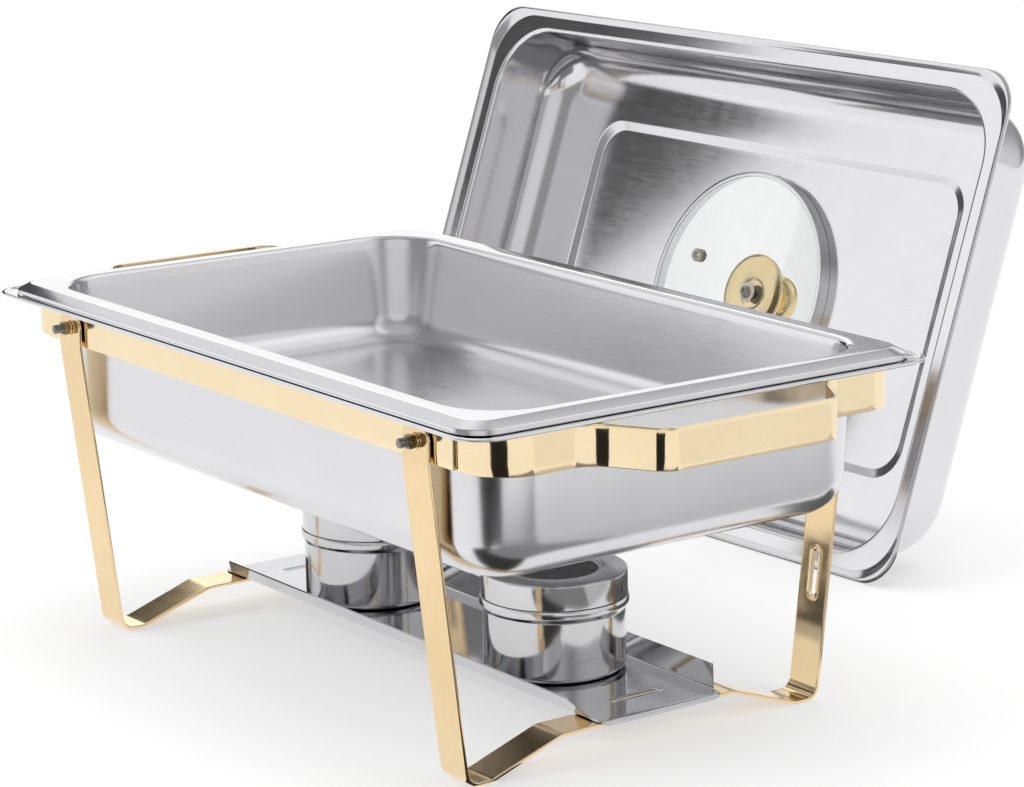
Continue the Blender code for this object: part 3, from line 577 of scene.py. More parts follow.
def punch(piece: bpy.types.Object, tools: Iterable[bpy.types.Object]) -> None:
    """Cut closed tools out of a piece and keep only the result.

    Args:
        piece: object whose mesh is replaced by the cut one.
        tools: cutters, removed afterwards.
    """
    cutters = list(tools)
    for cutter in cutters:
        mod = piece.modifiers.new("Punch", "BOOLEAN")
        mod.operation, mod.solver, mod.object = "DIFFERENCE", "EXACT", cutter
    graph = bpy.context.evaluated_depsgraph_get()
    cut = bpy.data.meshes.new_from_object(piece.evaluated_get(graph))
    piece.modifiers.clear()
    piece.data = cut
    for cutter in cutters:
        bpy.data.objects.remove(cutter, do_unlink=True)


def soften(piece: bpy.types.Object, width: float, segments: int, angle: float) -> None:
    """Round a piece's crisp edges with a Bevel modifier.

    Args:
        piece: object to finish.
        width: width of the rounding.
        segments: facets across it.
        angle: only edges that bend by more than this many degrees.
    """
    mod = piece.modifiers.new("Soft edge", "BEVEL")
    mod.width, mod.segments, mod.limit_method = width, segments, "ANGLE"
    mod.angle_limit = math.radians(angle)
    mod.harden_normals = True


# ================================================================== finishes
class Grain(Enum):
    """Direction of the polishing marks, as scales of the fine pattern along X, Y and Z."""

    LENGTH = (6.0, 900.0, 900.0)
    UPRIGHT = (900.0, 900.0, 6.0)
    ROUND = (260.0, 260.0, 1500.0)
    EVEN = (420.0, 420.0, 420.0)


class Nodes:
    """Short-hand for adding and joining shader nodes in one tree."""

    def __init__(self, tree: bpy.types.NodeTree) -> None:
        """Keep the tree that the nodes go into."""
        self.tree = tree

    def feed(self, node: bpy.types.Node, inputs: dict[str, object]) -> None:
        """Set a node's inputs, named or numbered, to values or join them to sockets."""
        for key, value in inputs.items():
            socket = node.inputs[int(key)] if key.isdigit() else node.inputs[key]
            if isinstance(value, Socket):
                self.tree.links.new(value, socket)
            else:
                socket.default_value = value

    def add(self, kind: str, inputs: dict[str, object] | None = None,
            **settings: object) -> bpy.types.Node:
        """Add a node.

        Args:
            kind: node type without the ShaderNode prefix.
            inputs: socket values, or output sockets to join to.
            settings: node properties.

        Returns:
            The new node.
        """
        node = self.tree.nodes.new("ShaderNode" + kind)
        for key, value in settings.items():
            setattr(node, key, value)
        self.feed(node, inputs or {})
        return node

    def noise(self, at: Socket, scale: float, **more: float) -> Socket:
        """Noise at a position; more sets its Detail, Roughness and Distortion."""
        return self.add("TexNoise", {"Vector": at, "Scale": scale, **more}).outputs["Fac"]

    def maths(self, operation: str, *values: object) -> Socket:
        """Join numbers and sockets by a Math operation."""
        inputs = {str(place): value for place, value in enumerate(values)}
        return self.add("Math", inputs, operation=operation).outputs[0]

    def blend(self, share: object, first: object, second: object, kind: str = "MIX") -> Socket:
        """Mix two colours; a share of 1 gives the second."""
        return self.add("Mix", {"0": share, "6": first, "7": second}, data_type="RGBA",
                        blend_type=kind).outputs[2]

    def bump(self, height: Socket, distance: float, strength: float = 1.0,
             **more: Socket) -> Socket:
        """Normal of a relief that is distance high; more may give the Normal under it."""
        return self.add("Bump", {"Height": height, "Strength": strength, "Distance": distance,
                                 **more}).outputs["Normal"]

    def span(self, value: Socket, low: float, high: float,
             from_low: float = 0.3, from_high: float = 0.7) -> Socket:
        """Stretch a value between two numbers."""
        return self.add("MapRange", {"Value": value, "From Min": from_low, "From Max": from_high,
                                     "To Min": low, "To Max": high}).outputs["Result"]

    def show(self, share: Socket, first: Socket, second: Socket) -> None:
        """Put a mix of two shaders on the surface; a share of 1 gives the second."""
        mix = self.add("MixShader", {"0": share, "1": first, "2": second})
        self.feed(self.tree.nodes["Material Output"], {"Surface": mix.outputs[0]})


@dataclass(frozen=True)
class Finish:
    """Named finish with its main colour; each kind fills in its own nodes."""

    name: str
    colour: Colour

    def material(self) -> bpy.types.Material:
        """Make the node material once.

        Returns:
            The material of this name.
        """
        found = bpy.data.materials.get(self.name)
        if found is not None:
            return found
        mat = bpy.data.materials.new(self.name)
        mat.use_nodes = True
        mat.diffuse_color = (*self.colour, 1.0)
        n = Nodes(mat.node_tree)
        self.fill(n, mat.node_tree.nodes["Principled BSDF"],
                  n.add("TexCoord").outputs["Object"])
        return mat

    def fill(self, n: Nodes, shader: bpy.types.Node, where: Socket) -> None:
        """Add this kind's nodes.

        Args:
            n: helper for the material's tree.
            shader: its main shader.
            where: position in the common frame.
        """
        raise NotImplementedError


@dataclass(frozen=True)
class MetalFinish(Finish):
    """Polished or brushed metal: colour drift, grain, uneven gloss and slight waviness."""

    shade: Colour
    gloss: tuple[float, float]
    grain: Grain
    grain_depth: float
    wave: float
    wave_scale: float
    turn: Point = (0.0, 0.0, 0.0)
    bright_from: float | None = None
    bright_share: float = 0.42
    bright_edge: float = 0.0012

    def fill(self, n: Nodes, shader: bpy.types.Node, where: Socket) -> None:
        """Add the metal's nodes; above bright_from the roughness falls to bright_share of it.

        Args:
            n: helper for the material's tree.
            shader: its main shader.
            where: position in the common frame.
        """
        turned_to = n.add("Mapping", {"Vector": where, "Rotation": self.turn}).outputs["Vector"]
        fine_at = n.add("Mapping", {"Vector": turned_to, "Scale": self.grain.value})
        fine = n.noise(fine_at.outputs["Vector"], 1.0, Detail=3.0, Roughness=0.6)
        broad = n.noise(where, 14.0, Detail=4.0, Roughness=0.55)
        smear = n.noise(where, 60.0, Detail=5.0, Roughness=0.65, Distortion=0.6)
        tone = n.blend(n.span(broad, 0.0, 1.0, 0.35, 0.65), (*self.colour, 1.0),
                       (*self.shade, 1.0))
        tint = n.blend(1.0, tone, n.span(fine, 0.975, 1.01), "MULTIPLY")
        gloss = n.span(n.maths("ADD", fine, smear), *self.gloss, 0.7, 1.3)
        if self.bright_from is not None:
            height = n.add("SeparateXYZ", {"Vector": where}).outputs["Z"]
            rub = n.span(height, 1.0, self.bright_share, self.bright_from - self.bright_edge,
                         self.bright_from)
            gloss = n.maths("MULTIPLY", gloss, rub)
        sway = n.noise(where, self.wave_scale, Detail=1.0, Roughness=0.4)
        relief = n.bump(fine, self.grain_depth, Normal=n.bump(sway, self.wave))
        n.feed(shader, {"Metallic": 1.0, "Base Color": tint, "Roughness": gloss,
                        "Normal": relief})


@dataclass(frozen=True)
class GlassFinish(Finish):
    """Clear lid glass with a faint film of wiping marks.

    Each face mirrors 4% of the light that meets it head on, and more by the fifth power of
    the slant; the rest goes through.
    """

    film: Colour

    def fill(self, n: Nodes, shader: bpy.types.Node, where: Socket) -> None:
        """Add a clear layer and, as the main shader, a polished one.

        Args:
            n: helper for the material's tree.
            shader: its main shader.
            where: position in the common frame.
        """
        film = n.noise(where, 34.0, Detail=6.0, Roughness=0.7, Distortion=1.2)
        n.feed(shader, {"Metallic": 1.0, "Base Color": (0.98, 0.99, 0.99, 1.0),
                        "Roughness": n.span(film, 0.01, 0.08, 0.45, 0.75),
                        "Normal": n.bump(film, 0.00002, 0.2)})
        tone = n.blend(n.span(film, 0.0, 1.0, 0.4, 0.75), (*self.colour, 1.0),
                       (*self.film, 1.0))
        clear = n.add("BsdfTransparent", {"Color": tone})
        slant = n.add("LayerWeight", {"Blend": 0.5}).outputs["Facing"]
        share = n.maths("MULTIPLY_ADD", n.maths("POWER", slant, 5.0), 0.96, 0.04)
        n.show(share, clear.outputs[0], shader.outputs[0])


@dataclass(frozen=True)
class RubberFinish(Finish):
    """Soft silicone with a matt, slightly dusty skin."""

    dusty: Colour

    def fill(self, n: Nodes, shader: bpy.types.Node, where: Socket) -> None:
        """Add a fine mottle to the colour, the roughness and the relief.

        Args:
            n: helper for the material's tree.
            shader: its main shader.
            where: position in the common frame.
        """
        skin = n.noise(where, 700.0, Detail=4.0)
        n.feed(shader, {"Base Color": n.blend(skin, (*self.colour, 1.0), (*self.dusty, 1.0)),
                        "Roughness": n.span(skin, 0.45, 0.7),
                        "Normal": n.bump(skin, 0.0001, 0.4)})


LID_LEAN = math.radians(19.2)
PAN_RIM = 0.2245
GILT_RAIL = MetalFinish("gilt_rail", (0.95, 0.79, 0.53), (0.93, 0.76, 0.49), (0.06, 0.12),
                        Grain.LENGTH, grain_depth=2e-6, wave=1.0e-4, wave_scale=11.0)
# Same gilt as the rails, set darker and deeper in colour: painted shade on the leaning legs.
SHADED_GILT_LEG = MetalFinish("gilt_leg_painted_shade", (0.90, 0.70, 0.43), (0.86, 0.65, 0.37), (0.08, 0.15),
                       Grain.UPRIGHT, grain_depth=2e-6, wave=1.2e-4, wave_scale=8.0)
GILT_KNOB = MetalFinish("gilt_turned", (0.94, 0.76, 0.45), (0.90, 0.70, 0.38), (0.05, 0.14),
                        Grain.ROUND, grain_depth=1e-6, wave=4e-5, wave_scale=30.0)
SATIN_PAN = MetalFinish("satin_pan", (0.770, 0.765, 0.785), (0.750, 0.745, 0.765), (0.17, 0.23),
                        Grain.LENGTH, grain_depth=3e-7, wave=1.6e-4, wave_scale=7.0,
                        bright_from=PAN_RIM)
SATIN_LID = MetalFinish("satin_lid", (0.780, 0.775, 0.793), (0.760, 0.755, 0.773), (0.11, 0.17),
                        Grain.LENGTH, grain_depth=3e-7, wave=1.4e-4, wave_scale=6.0,
                        turn=(-LID_LEAN, 0.0, 0.0))
MIRROR_TRAY = MetalFinish("mirror_tray", (0.57, 0.57, 0.58), (0.50, 0.50, 0.52), (0.04, 0.11),
                          Grain.LENGTH, grain_depth=2e-6, wave=2.0e-4, wave_scale=14.0)
MIRROR_CAN = MetalFinish("mirror_can", (0.66, 0.66, 0.67), (0.60, 0.60, 0.61), (0.08, 0.16),
                         Grain.ROUND, grain_depth=1e-6, wave=6e-5, wave_scale=30.0)
MIRROR_RING = MetalFinish("mirror_ring", (0.72, 0.72, 0.73), (0.66, 0.66, 0.67), (0.07, 0.15),
                          Grain.ROUND, grain_depth=1e-6, wave=4e-5, wave_scale=30.0)
# Near-black metal for the cans' inside faces: painted shade in their hollows, not the steel's own
# colour.
PAINTED_SHADE_INSIDE = MetalFinish("painted_shade_inside", (0.060, 0.058, 0.056), (0.030, 0.030, 0.029),
                          (0.22, 0.42), Grain.ROUND, grain_depth=4e-6, wave=6e-5,
                          wave_scale=30.0)
BLACK_NICKEL = MetalFinish("black_nickel", (0.30, 0.285, 0.275), (0.22, 0.21, 0.20),
                           (0.14, 0.32), Grain.EVEN, grain_depth=3e-5, wave=4e-5,
                           wave_scale=60.0)
DARK_BRASS = MetalFinish("dark_brass", (0.36, 0.29, 0.19), (0.27, 0.22, 0.15), (0.20, 0.34),
                         Grain.EVEN, grain_depth=4e-6, wave=1.0e-4, wave_scale=60.0)
PALE_NICKEL = MetalFinish("pale_nickel", (0.62, 0.59, 0.54), (0.45, 0.42, 0.38), (0.14, 0.30),
                          Grain.EVEN, grain_depth=3e-5, wave=4e-5, wave_scale=60.0)
CLEAR_GLASS = GlassFinish("pale_glass", (0.945, 0.952, 0.952), (0.915, 0.926, 0.926))
SILICONE = RubberFinish("silicone", (0.40, 0.34, 0.24), (0.66, 0.65, 0.63))


# ================================================================== sub-assemblies
@dataclass
class Assembly:
    """Common ground of the sub-assemblies: where the dish stands, how a piece is handed over."""

    origin: Vector
    pieces: list[bpy.types.Object] = field(default_factory=list)

    def at(self, x: float = 0.0, y: float = 0.0, z: float = 0.0) -> Matrix:
        """Matrix that moves a shape to a point given from the middle of the dish."""
        return Matrix.Translation(self.origin + Vector((x, y, z)))

    def hand_over(self, piece: bpy.types.Object, finish: Finish, body: str, slot: str,
                  node: str) -> None:
        """Dress a piece, put it on its body and let it stand for its CAD node.

        Args:
            piece: finished object.
            finish: its material.
            body: CAD body that it rides on.
            slot: material slot of the record; not used.
            node: CAD node that it replaces.
        """
        piece.data.materials.clear()
        piece.data.materials.append(finish.material())
        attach(piece, body)
        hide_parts(node)
        self.pieces.append(piece)
        LOG.info("%s: %d faces on %s", piece.name, len(piece.data.polygons), body)


@dataclass
class StripFrame(Assembly):
    """Two long rails and two end bands with handles, bent from polished gilt strip."""

    thickness: float = 0.0016
    edge: float = 0.0005
    height: float = 0.0253
    top: float = 0.2232
    rail_face: float = 0.1545
    rail_half: float = 0.2340
    band_face: float = 0.2720
    band_corner: float = 0.0300
    return_end: float = 0.1860
    handle_out: float = 0.0420
    handle_root: float = 0.0870
    handle_grip: float = 0.0620
    root_bend: float = 0.0240
    grip_bend: float = 0.0150
    gap: float = 0.0003

    def strip(self, name: str, path: Array) -> None:
        """Stand a strip on edge along a path and hand it over.

        Args:
            name: CAD node that it replaces.
            path: middle line in plan.
        """
        section = StripSection(self.thickness, self.edge, 4)
        shell = section.sweep(refined(path, PATH_STEP), self.height / 2, upright)
        piece = shell.build(f"{name}_strip", self.at(z=self.top - self.height / 2))
        soften(piece, 0.0004, 3, 60)
        self.hand_over(piece, GILT_RAIL, "frame", "gilt_strip", name)

    def rail(self, name: str, side: int) -> None:
        """Straight rail; its middle line is y = side * (face - half the thickness)."""
        y = side * (self.rail_face - self.thickness / 2)
        self.strip(name, np.array([[-self.rail_half, y], [self.rail_half, y]]))

    def band(self, name: str, side: int) -> None:
        """End band: return, round corner, flared handle, corner, return, in one strip.

        Args:
            name: CAD node that it replaces.
            side: -1 for the left end, 1 for the right end.
        """
        half_t = self.thickness / 2
        back = self.rail_face - self.thickness - self.gap - half_t
        face = self.band_face - half_t
        out = face + self.handle_out
        points = [(self.return_end, -back), (face, -back), (face, -self.handle_root),
                  (out, -self.handle_grip), (out, self.handle_grip), (face, self.handle_root),
                  (face, back), (self.return_end, back)]
        bends = [self.band_corner - half_t, self.root_bend, self.grip_bend]
        path = rounded_path(points, bends + bends[::-1], 2.0)
        self.strip(name, path * np.array([side, 1.0]))

    def build(self) -> None:
        """Build both rails and both bands."""
        self.rail("front_rail", -1)
        self.rail("rear_rail", 1)
        self.band("left_end_band", -1)
        self.band("right_end_band", 1)


@dataclass
class FoldingLegs(Assembly):
    """Two U-shaped leg frames with rounded heads, a stepped crossbar and a stamped slot."""

    thickness: float = 0.0021
    edge: float = 0.0006
    width: float = 0.0264
    pivot_x: float = 0.2010
    pivot_z: float = 0.2097
    top_inner: float = 0.1556
    low_inner: float = 0.1548
    joggle_top: float = 0.1970
    joggle_end: float = 0.1885
    joggle_bend: float = 0.0060
    foot_face: float = 0.1345
    foot_inner: float = 0.1165
    foot_bend: float = 0.0090
    plateau_half: float = 0.0660
    plateau_rise: float = 0.0172
    ramp_bend: float = 0.0180
    slot_width: float = 0.0055
    slot_length: float = 0.0300
    slot_z: float = 0.0785
    stamp_height: float = 0.0006
    stamp_out: float = 0.0016
    stamp_width: float = 0.0009

    def middle_line(self) -> Array:
        """Middle line from one head over the crossbar to the other, bends rounded.

        Returns:
            Rows of (y, z).
        """
        c = self.thickness / 2
        top, low, foot = -(self.top_inner + c), -(self.low_inner + c), -(self.foot_face - c)
        half = [(top, self.pivot_z + self.width / 2 - 0.0002), (top, self.joggle_top),
                (low, self.joggle_end), (foot, c), (-self.foot_inner, c),
                (-self.plateau_half, self.plateau_rise + c)]
        full = half + [(-y, z) for y, z in reversed(half)]
        bends = [self.joggle_bend, self.joggle_bend, self.foot_bend, self.ramp_bend,
                 self.ramp_bend]
        return rounded_path(full, bends + bends[::-1], 4.0)

    def slot_place(self) -> tuple[float, float]:
        """Where the rear leg's straight stretch passes the height of the slot.

        Returns:
            Its outer face there and its lean from upright.
        """
        low = self.low_inner + self.thickness
        slope = (low - self.foot_face) / self.joggle_end
        return low - slope * (self.joggle_end - self.slot_z), math.atan(slope)

    def leg(self, name: str, side: int, body: str) -> None:
        """One leg frame.

        The half width at distance s below a head is sqrt(R^2 - (R - s)^2), with R half the
        strip's width, so that the head is a half circle. Round the slot the strip is raised
        by h * exp(-((d - d0) / w)^2), d being the distance from the slot's outline. Points
        stand close together there, and on the heads at equal turns of the half circle.

        Args:
            name: CAD node that it replaces.
            side: -1 for the left end, 1 for the right end.
            body: CAD body that it rides on.
        """
        radius = self.width / 2
        line = self.middle_line()
        total = lengths_along(line)[-1]
        face, lean = self.slot_place()
        corner = self.foot_bend * math.tan((QUARTER - lean) / 2)
        to_foot = np.hypot(line[:, 0] - self.foot_face, line[:, 1] - corner)
        slot_at = lengths_along(line)[np.argmin(to_foot)] + self.slot_z / math.cos(lean) - corner
        reach = self.slot_length / 2 + 0.006
        line = refined(line, 0.010, (slot_at - reach, slot_at + reach, 0.0008))
        head = radius * (1 - np.cos(np.radians(np.linspace(8, 90, 18))))
        s = lengths_along(line)
        where = np.concatenate([head, s[(s > radius) & (s < total - radius)], total - head[::-1]])
        path = np.stack([np.interp(where, s, line[:, k]) for k in (0, 1)], 1)
        end = np.minimum(np.minimum(where, total - where), radius)
        half = np.sqrt(np.maximum(radius ** 2 - (radius - end) ** 2, 1e-9))
        rear = len(path) // 2 + 10
        mark = np.interp(self.slot_z, path[rear:, 1], where[rear:])

        def stamped(along: Array, across: Array) -> Array:
            """Raised ring round the slot."""
            d = stadium_distance(along + head[0] - mark, across, self.slot_length,
                                 self.slot_width)
            return -self.stamp_height * np.exp(-((d - self.stamp_out) / self.stamp_width) ** 2)

        section = StripSection(self.thickness, self.edge, 30)
        place = self.at(side * self.pivot_x)
        piece = section.sweep(path, half, crosswise, stamped).build(f"{name}_strip", place)
        turn = (Matrix.Rotation(-lean, 4, "X") @ Matrix.Rotation(QUARTER, 4, "X")
                @ Matrix.Rotation(QUARTER, 4, "Z"))
        prism = stadium_prism(self.slot_length, self.slot_width, 0.006)
        spot = Matrix.Translation((0, face - self.thickness / 2, self.slot_z))
        punch(piece, [prism.build("slot_tool", place @ spot @ turn)])
        soften(piece, 0.0003, 2, 50)
        # The legs take the darker gilt: painted shade.
        self.hand_over(piece, SHADED_GILT_LEG, body, "gilt_strip", name)

    def build(self) -> None:
        """Build both leg frames."""
        self.leg("left_leg_frame", -1, "left_legs")
        self.leg("right_leg_frame", 1, "right_legs")


@dataclass
class LegPivots(Assembly):
    """Bolt, spacer, washer and hexagon nut at each of the four leg heads."""

    pivot_x: float = FoldingLegs.pivot_x
    pivot_z: float = FoldingLegs.pivot_z
    rail_face: float = StripFrame.rail_face
    strip: float = StripFrame.thickness
    leg_inner: float = FoldingLegs.top_inner
    leg_thickness: float = FoldingLegs.thickness
    gap: float = StripFrame.gap
    nut_gap: float = 0.00005
    nut_play: float = 0.00015
    ring_play: float = 0.0002
    bolt_r: float = 0.0030
    head_r: float = 0.0055
    head_t: float = 0.0008
    stickout: float = 0.0058
    nut_r: float = 0.0046
    nut_t: float = 0.0042
    washer_r: float = 0.0050
    washer_t: float = 0.0009
    spacer_r: float = 0.0050
    pitch: float = 0.0005
    thread_depth: float = 0.09
    tip_chamfer: float = 0.0003
    nut_trim: float = 0.86
    nut_trim_share: float = 0.16

    def bolt(self, head_in: float, tip: float) -> Shell:
        """Bolt with a flat head and a screw thread.

        The thread is a dip of thread_depth times the radius that follows the fractional part
        of (height / pitch - angle / 2 pi), shaped as a triangle.

        Args:
            head_in: height of the head's inner face.
            tip: height of the bolt's end.

        Returns:
            The closed surface.
        """
        r, h, c = self.bolt_r, self.head_t, self.tip_chamfer
        head = [(0, head_in), (self.head_r - h * 0.6, head_in), (self.head_r, head_in + h * 0.5),
                (self.head_r, head_in + h), (r, head_in + h)]
        shank = np.linspace(head_in + h + 0.0002, tip - 2 * c, 90)
        end = [(r - c, tip - c), (r - 0.0008, tip), (0.0012, tip + 0.00025), (0, tip)]
        profile = np.array(head + [(r, z) for z in shank] + end)

        def thread(angle: Array, row: Array) -> Array:
            """Dip of the thread.

            Args:
                angle: angles round the bolt.
                row: numbers of the profile rows.

            Returns:
                Change of the radius, rows by angles.
            """
            z = profile[1:-1][row[:, 0], 1][:, None]
            on = (row >= len(head)) & (row < len(head) - 1 + len(shank))
            share = np.mod(z / self.pitch - angle / (2 * math.pi), 1.0)
            return np.where(on, -self.thread_depth * r * np.abs(2 * share - 1), 0.0)

        return turned(profile, 40, ripple=thread)

    def nut(self, low: float) -> Shell:
        """Hexagon nut with chamfered corners and a bore.

        Its radius is the lesser of the hexagon, flat / cos(angle from the middle of the
        flat), and a cone that trims the corners near both faces.

        Args:
            low: height of the inner face.

        Returns:
            The closed surface.
        """
        a = np.linspace(0, 2 * math.pi, 96, endpoint=False)
        half_side = math.pi / 6
        flat = self.nut_r * math.cos(half_side)
        hexagon = flat / np.cos(np.mod(a, 2 * half_side) - half_side)
        share = np.array([0.0, 0.03, 0.07, 0.11, 0.15, 0.85, 0.89, 0.93, 0.97, 1.0])
        at = [0, self.nut_trim_share, 1 - self.nut_trim_share, 1]
        trim = self.nut_r * np.interp(share, at, [self.nut_trim, 1, 1, self.nut_trim])
        outer_r = np.minimum(hexagon[None], trim[:, None])
        inner_r = np.full((2, len(a)), self.bolt_r + self.nut_play)
        r = np.concatenate([outer_r, inner_r])
        z = low + self.nut_t * np.concatenate([share, [1.0, 0.0]])
        grid = np.stack([r * np.cos(a), r * np.sin(a), np.repeat(z[:, None], len(a), 1)], -1)
        shell = Shell()
        shell.grid(grid, close_rows=True)
        return shell

    def ring(self, outer: float, low: float, thick: float, bevel: float) -> Shell:
        """Flat ring with bevelled outer edges, spun from its section.

        Args:
            outer: outer radius.
            low: height of its inner face.
            thick: its thickness.
            bevel: rounding of the outer edges.

        Returns:
            The closed surface.
        """
        inner = self.bolt_r + self.ring_play
        section = rounded_path([(inner, low), (outer, low), (outer, low + thick),
                                (inner, low + thick)], [bevel, bevel], 15)
        return turned(section[::-1], 56, closed=True)

    def build(self) -> None:
        """Build the four sets, each along the outward axis of its pivot."""
        head_in = self.rail_face - 2 * self.strip - 2 * self.gap - self.head_t
        washer_in = self.leg_inner + self.leg_thickness + self.gap
        nut_in = washer_in + self.washer_t + self.nut_gap
        tip = nut_in + self.nut_t + self.stickout
        for sx, side in ((-1, "left"), (1, "right")):
            for sy, depth in ((-1, "front"), (1, "rear")):
                tag = f"{depth}_{side}"
                axis = Matrix(((1, 0, 0), (0, 0, sy), (0, -sy, 0))).to_4x4()
                place = self.at(sx * self.pivot_x, 0, self.pivot_z) @ axis
                parts = (("bolt", self.bolt(head_in, tip), BLACK_NICKEL),
                         ("nut", self.nut(nut_in), DARK_BRASS),
                         ("washer", self.ring(self.washer_r, washer_in, self.washer_t, 0.0002),
                          GILT_KNOB),
                         ("spacer", self.ring(self.spacer_r, self.rail_face + self.gap,
                                              self.leg_inner - self.rail_face - 2 * self.gap,
                                              0.0003), BLACK_NICKEL))
                for kind, shell, finish in parts:
                    piece = shell.build(f"{kind}_{tag}", place, 30)
                    self.hand_over(piece, finish, "frame", "dark_fastener",
                                   f"pivot_{kind}_{tag}")


@dataclass
class WaterPan(Assembly):
    """Deep satin pan with a flat flange and a rolled outer edge."""

    sheet: float = 0.0007
    rim_z: float = 0.2235
    half_l: float = 0.2799
    half_w: float = 0.1734
    corner: float = 0.0220
    bead: float = 0.0010
    open_half_l: float = 0.2560
    open_half_w: float = 0.1515
    open_corner: float = 0.0470
    depth: float = 0.0965
    taper: float = 0.0050
    fillet: float = 0.0260
    lip: float = 0.0030
    floor_core: float = 0.0120

    def build(self) -> None:
        """Press the pan: rolled edge, flange, round lip, tapering wall, fillet, floor."""
        lip_at = self.half_w - self.open_half_w
        plan = Plan((0.0, lip_at), (self.half_l, self.open_half_l),
                    (self.half_w, self.open_half_w), (self.corner, self.open_corner))
        mid = self.sheet / 2
        wall_in = lip_at + self.lip
        floor_in = wall_in + self.taper
        points = [(ROLL_IN * self.bead, mid), (wall_in, mid), (floor_in, mid - self.depth),
                  (self.half_w - self.floor_core, mid - self.depth)]
        line = refined(rounded_path(points, [self.lip, self.fillet], 5.0), PRESS_STEP)
        shell = pressed_sheet(plan, line, self.sheet, rolled_edge(self.bead, self.bead))
        piece = shell.build("water_pan_pressing", self.at(z=self.rim_z), 50)
        self.hand_over(piece, SATIN_PAN, "water", "satin_steel", "water_pan")


@dataclass
class FoodPan(Assembly):
    """Shallow satin pan with a flat land round its opening and a sloping edge."""

    sheet: float = 0.0007
    base_z: float = PAN_RIM
    half_l: float = 0.2700
    half_w: float = 0.1670
    corner: float = 0.0220
    land_corner: float = 0.0150
    bevel: float = 0.0081
    land_end: float = 0.0059
    land_side: float = 0.0093
    open_corner: float = 0.0440
    rise: float = 0.0072
    depth: float = 0.0710
    taper: float = 0.0120
    fillet: float = 0.0200
    lip: float = 0.0040
    floor_core: float = 0.0120

    def build(self) -> None:
        """Press the pan: steep edge, slope, land, lip, tapering wall, fillet, floor."""
        open_in = self.bevel + self.land_side
        plan = Plan((0.0, self.bevel, open_in),
                    (self.half_l, self.half_l - self.bevel,
                     self.half_l - self.bevel - self.land_end),
                    (self.half_w, self.half_w - self.bevel, self.half_w - open_in),
                    (self.corner, self.land_corner, self.open_corner))
        mid = self.sheet / 2
        top = self.rise - mid
        wall_in, floor_in = open_in + self.lip, open_in + self.lip + self.taper
        points = [(mid, 0.0002), (mid + 0.0004, 0.0030), (self.bevel, top), (wall_in, top),
                  (floor_in, top - self.depth),
                  (self.half_w - self.floor_core, top - self.depth)]
        radii = [0.0010, 0.0016, self.lip, self.fillet]
        line = refined(rounded_path(points, radii, 5.0), PRESS_STEP)
        edge = np.array([[mid, 0.00005], [mid + 0.0003, 0.0]])
        shell = pressed_sheet(plan, line, self.sheet, edge)
        piece = shell.build("food_pan_pressing", self.at(z=self.base_z), 50)
        self.hand_over(piece, SATIN_PAN, "food", "satin_steel", "food_pan")


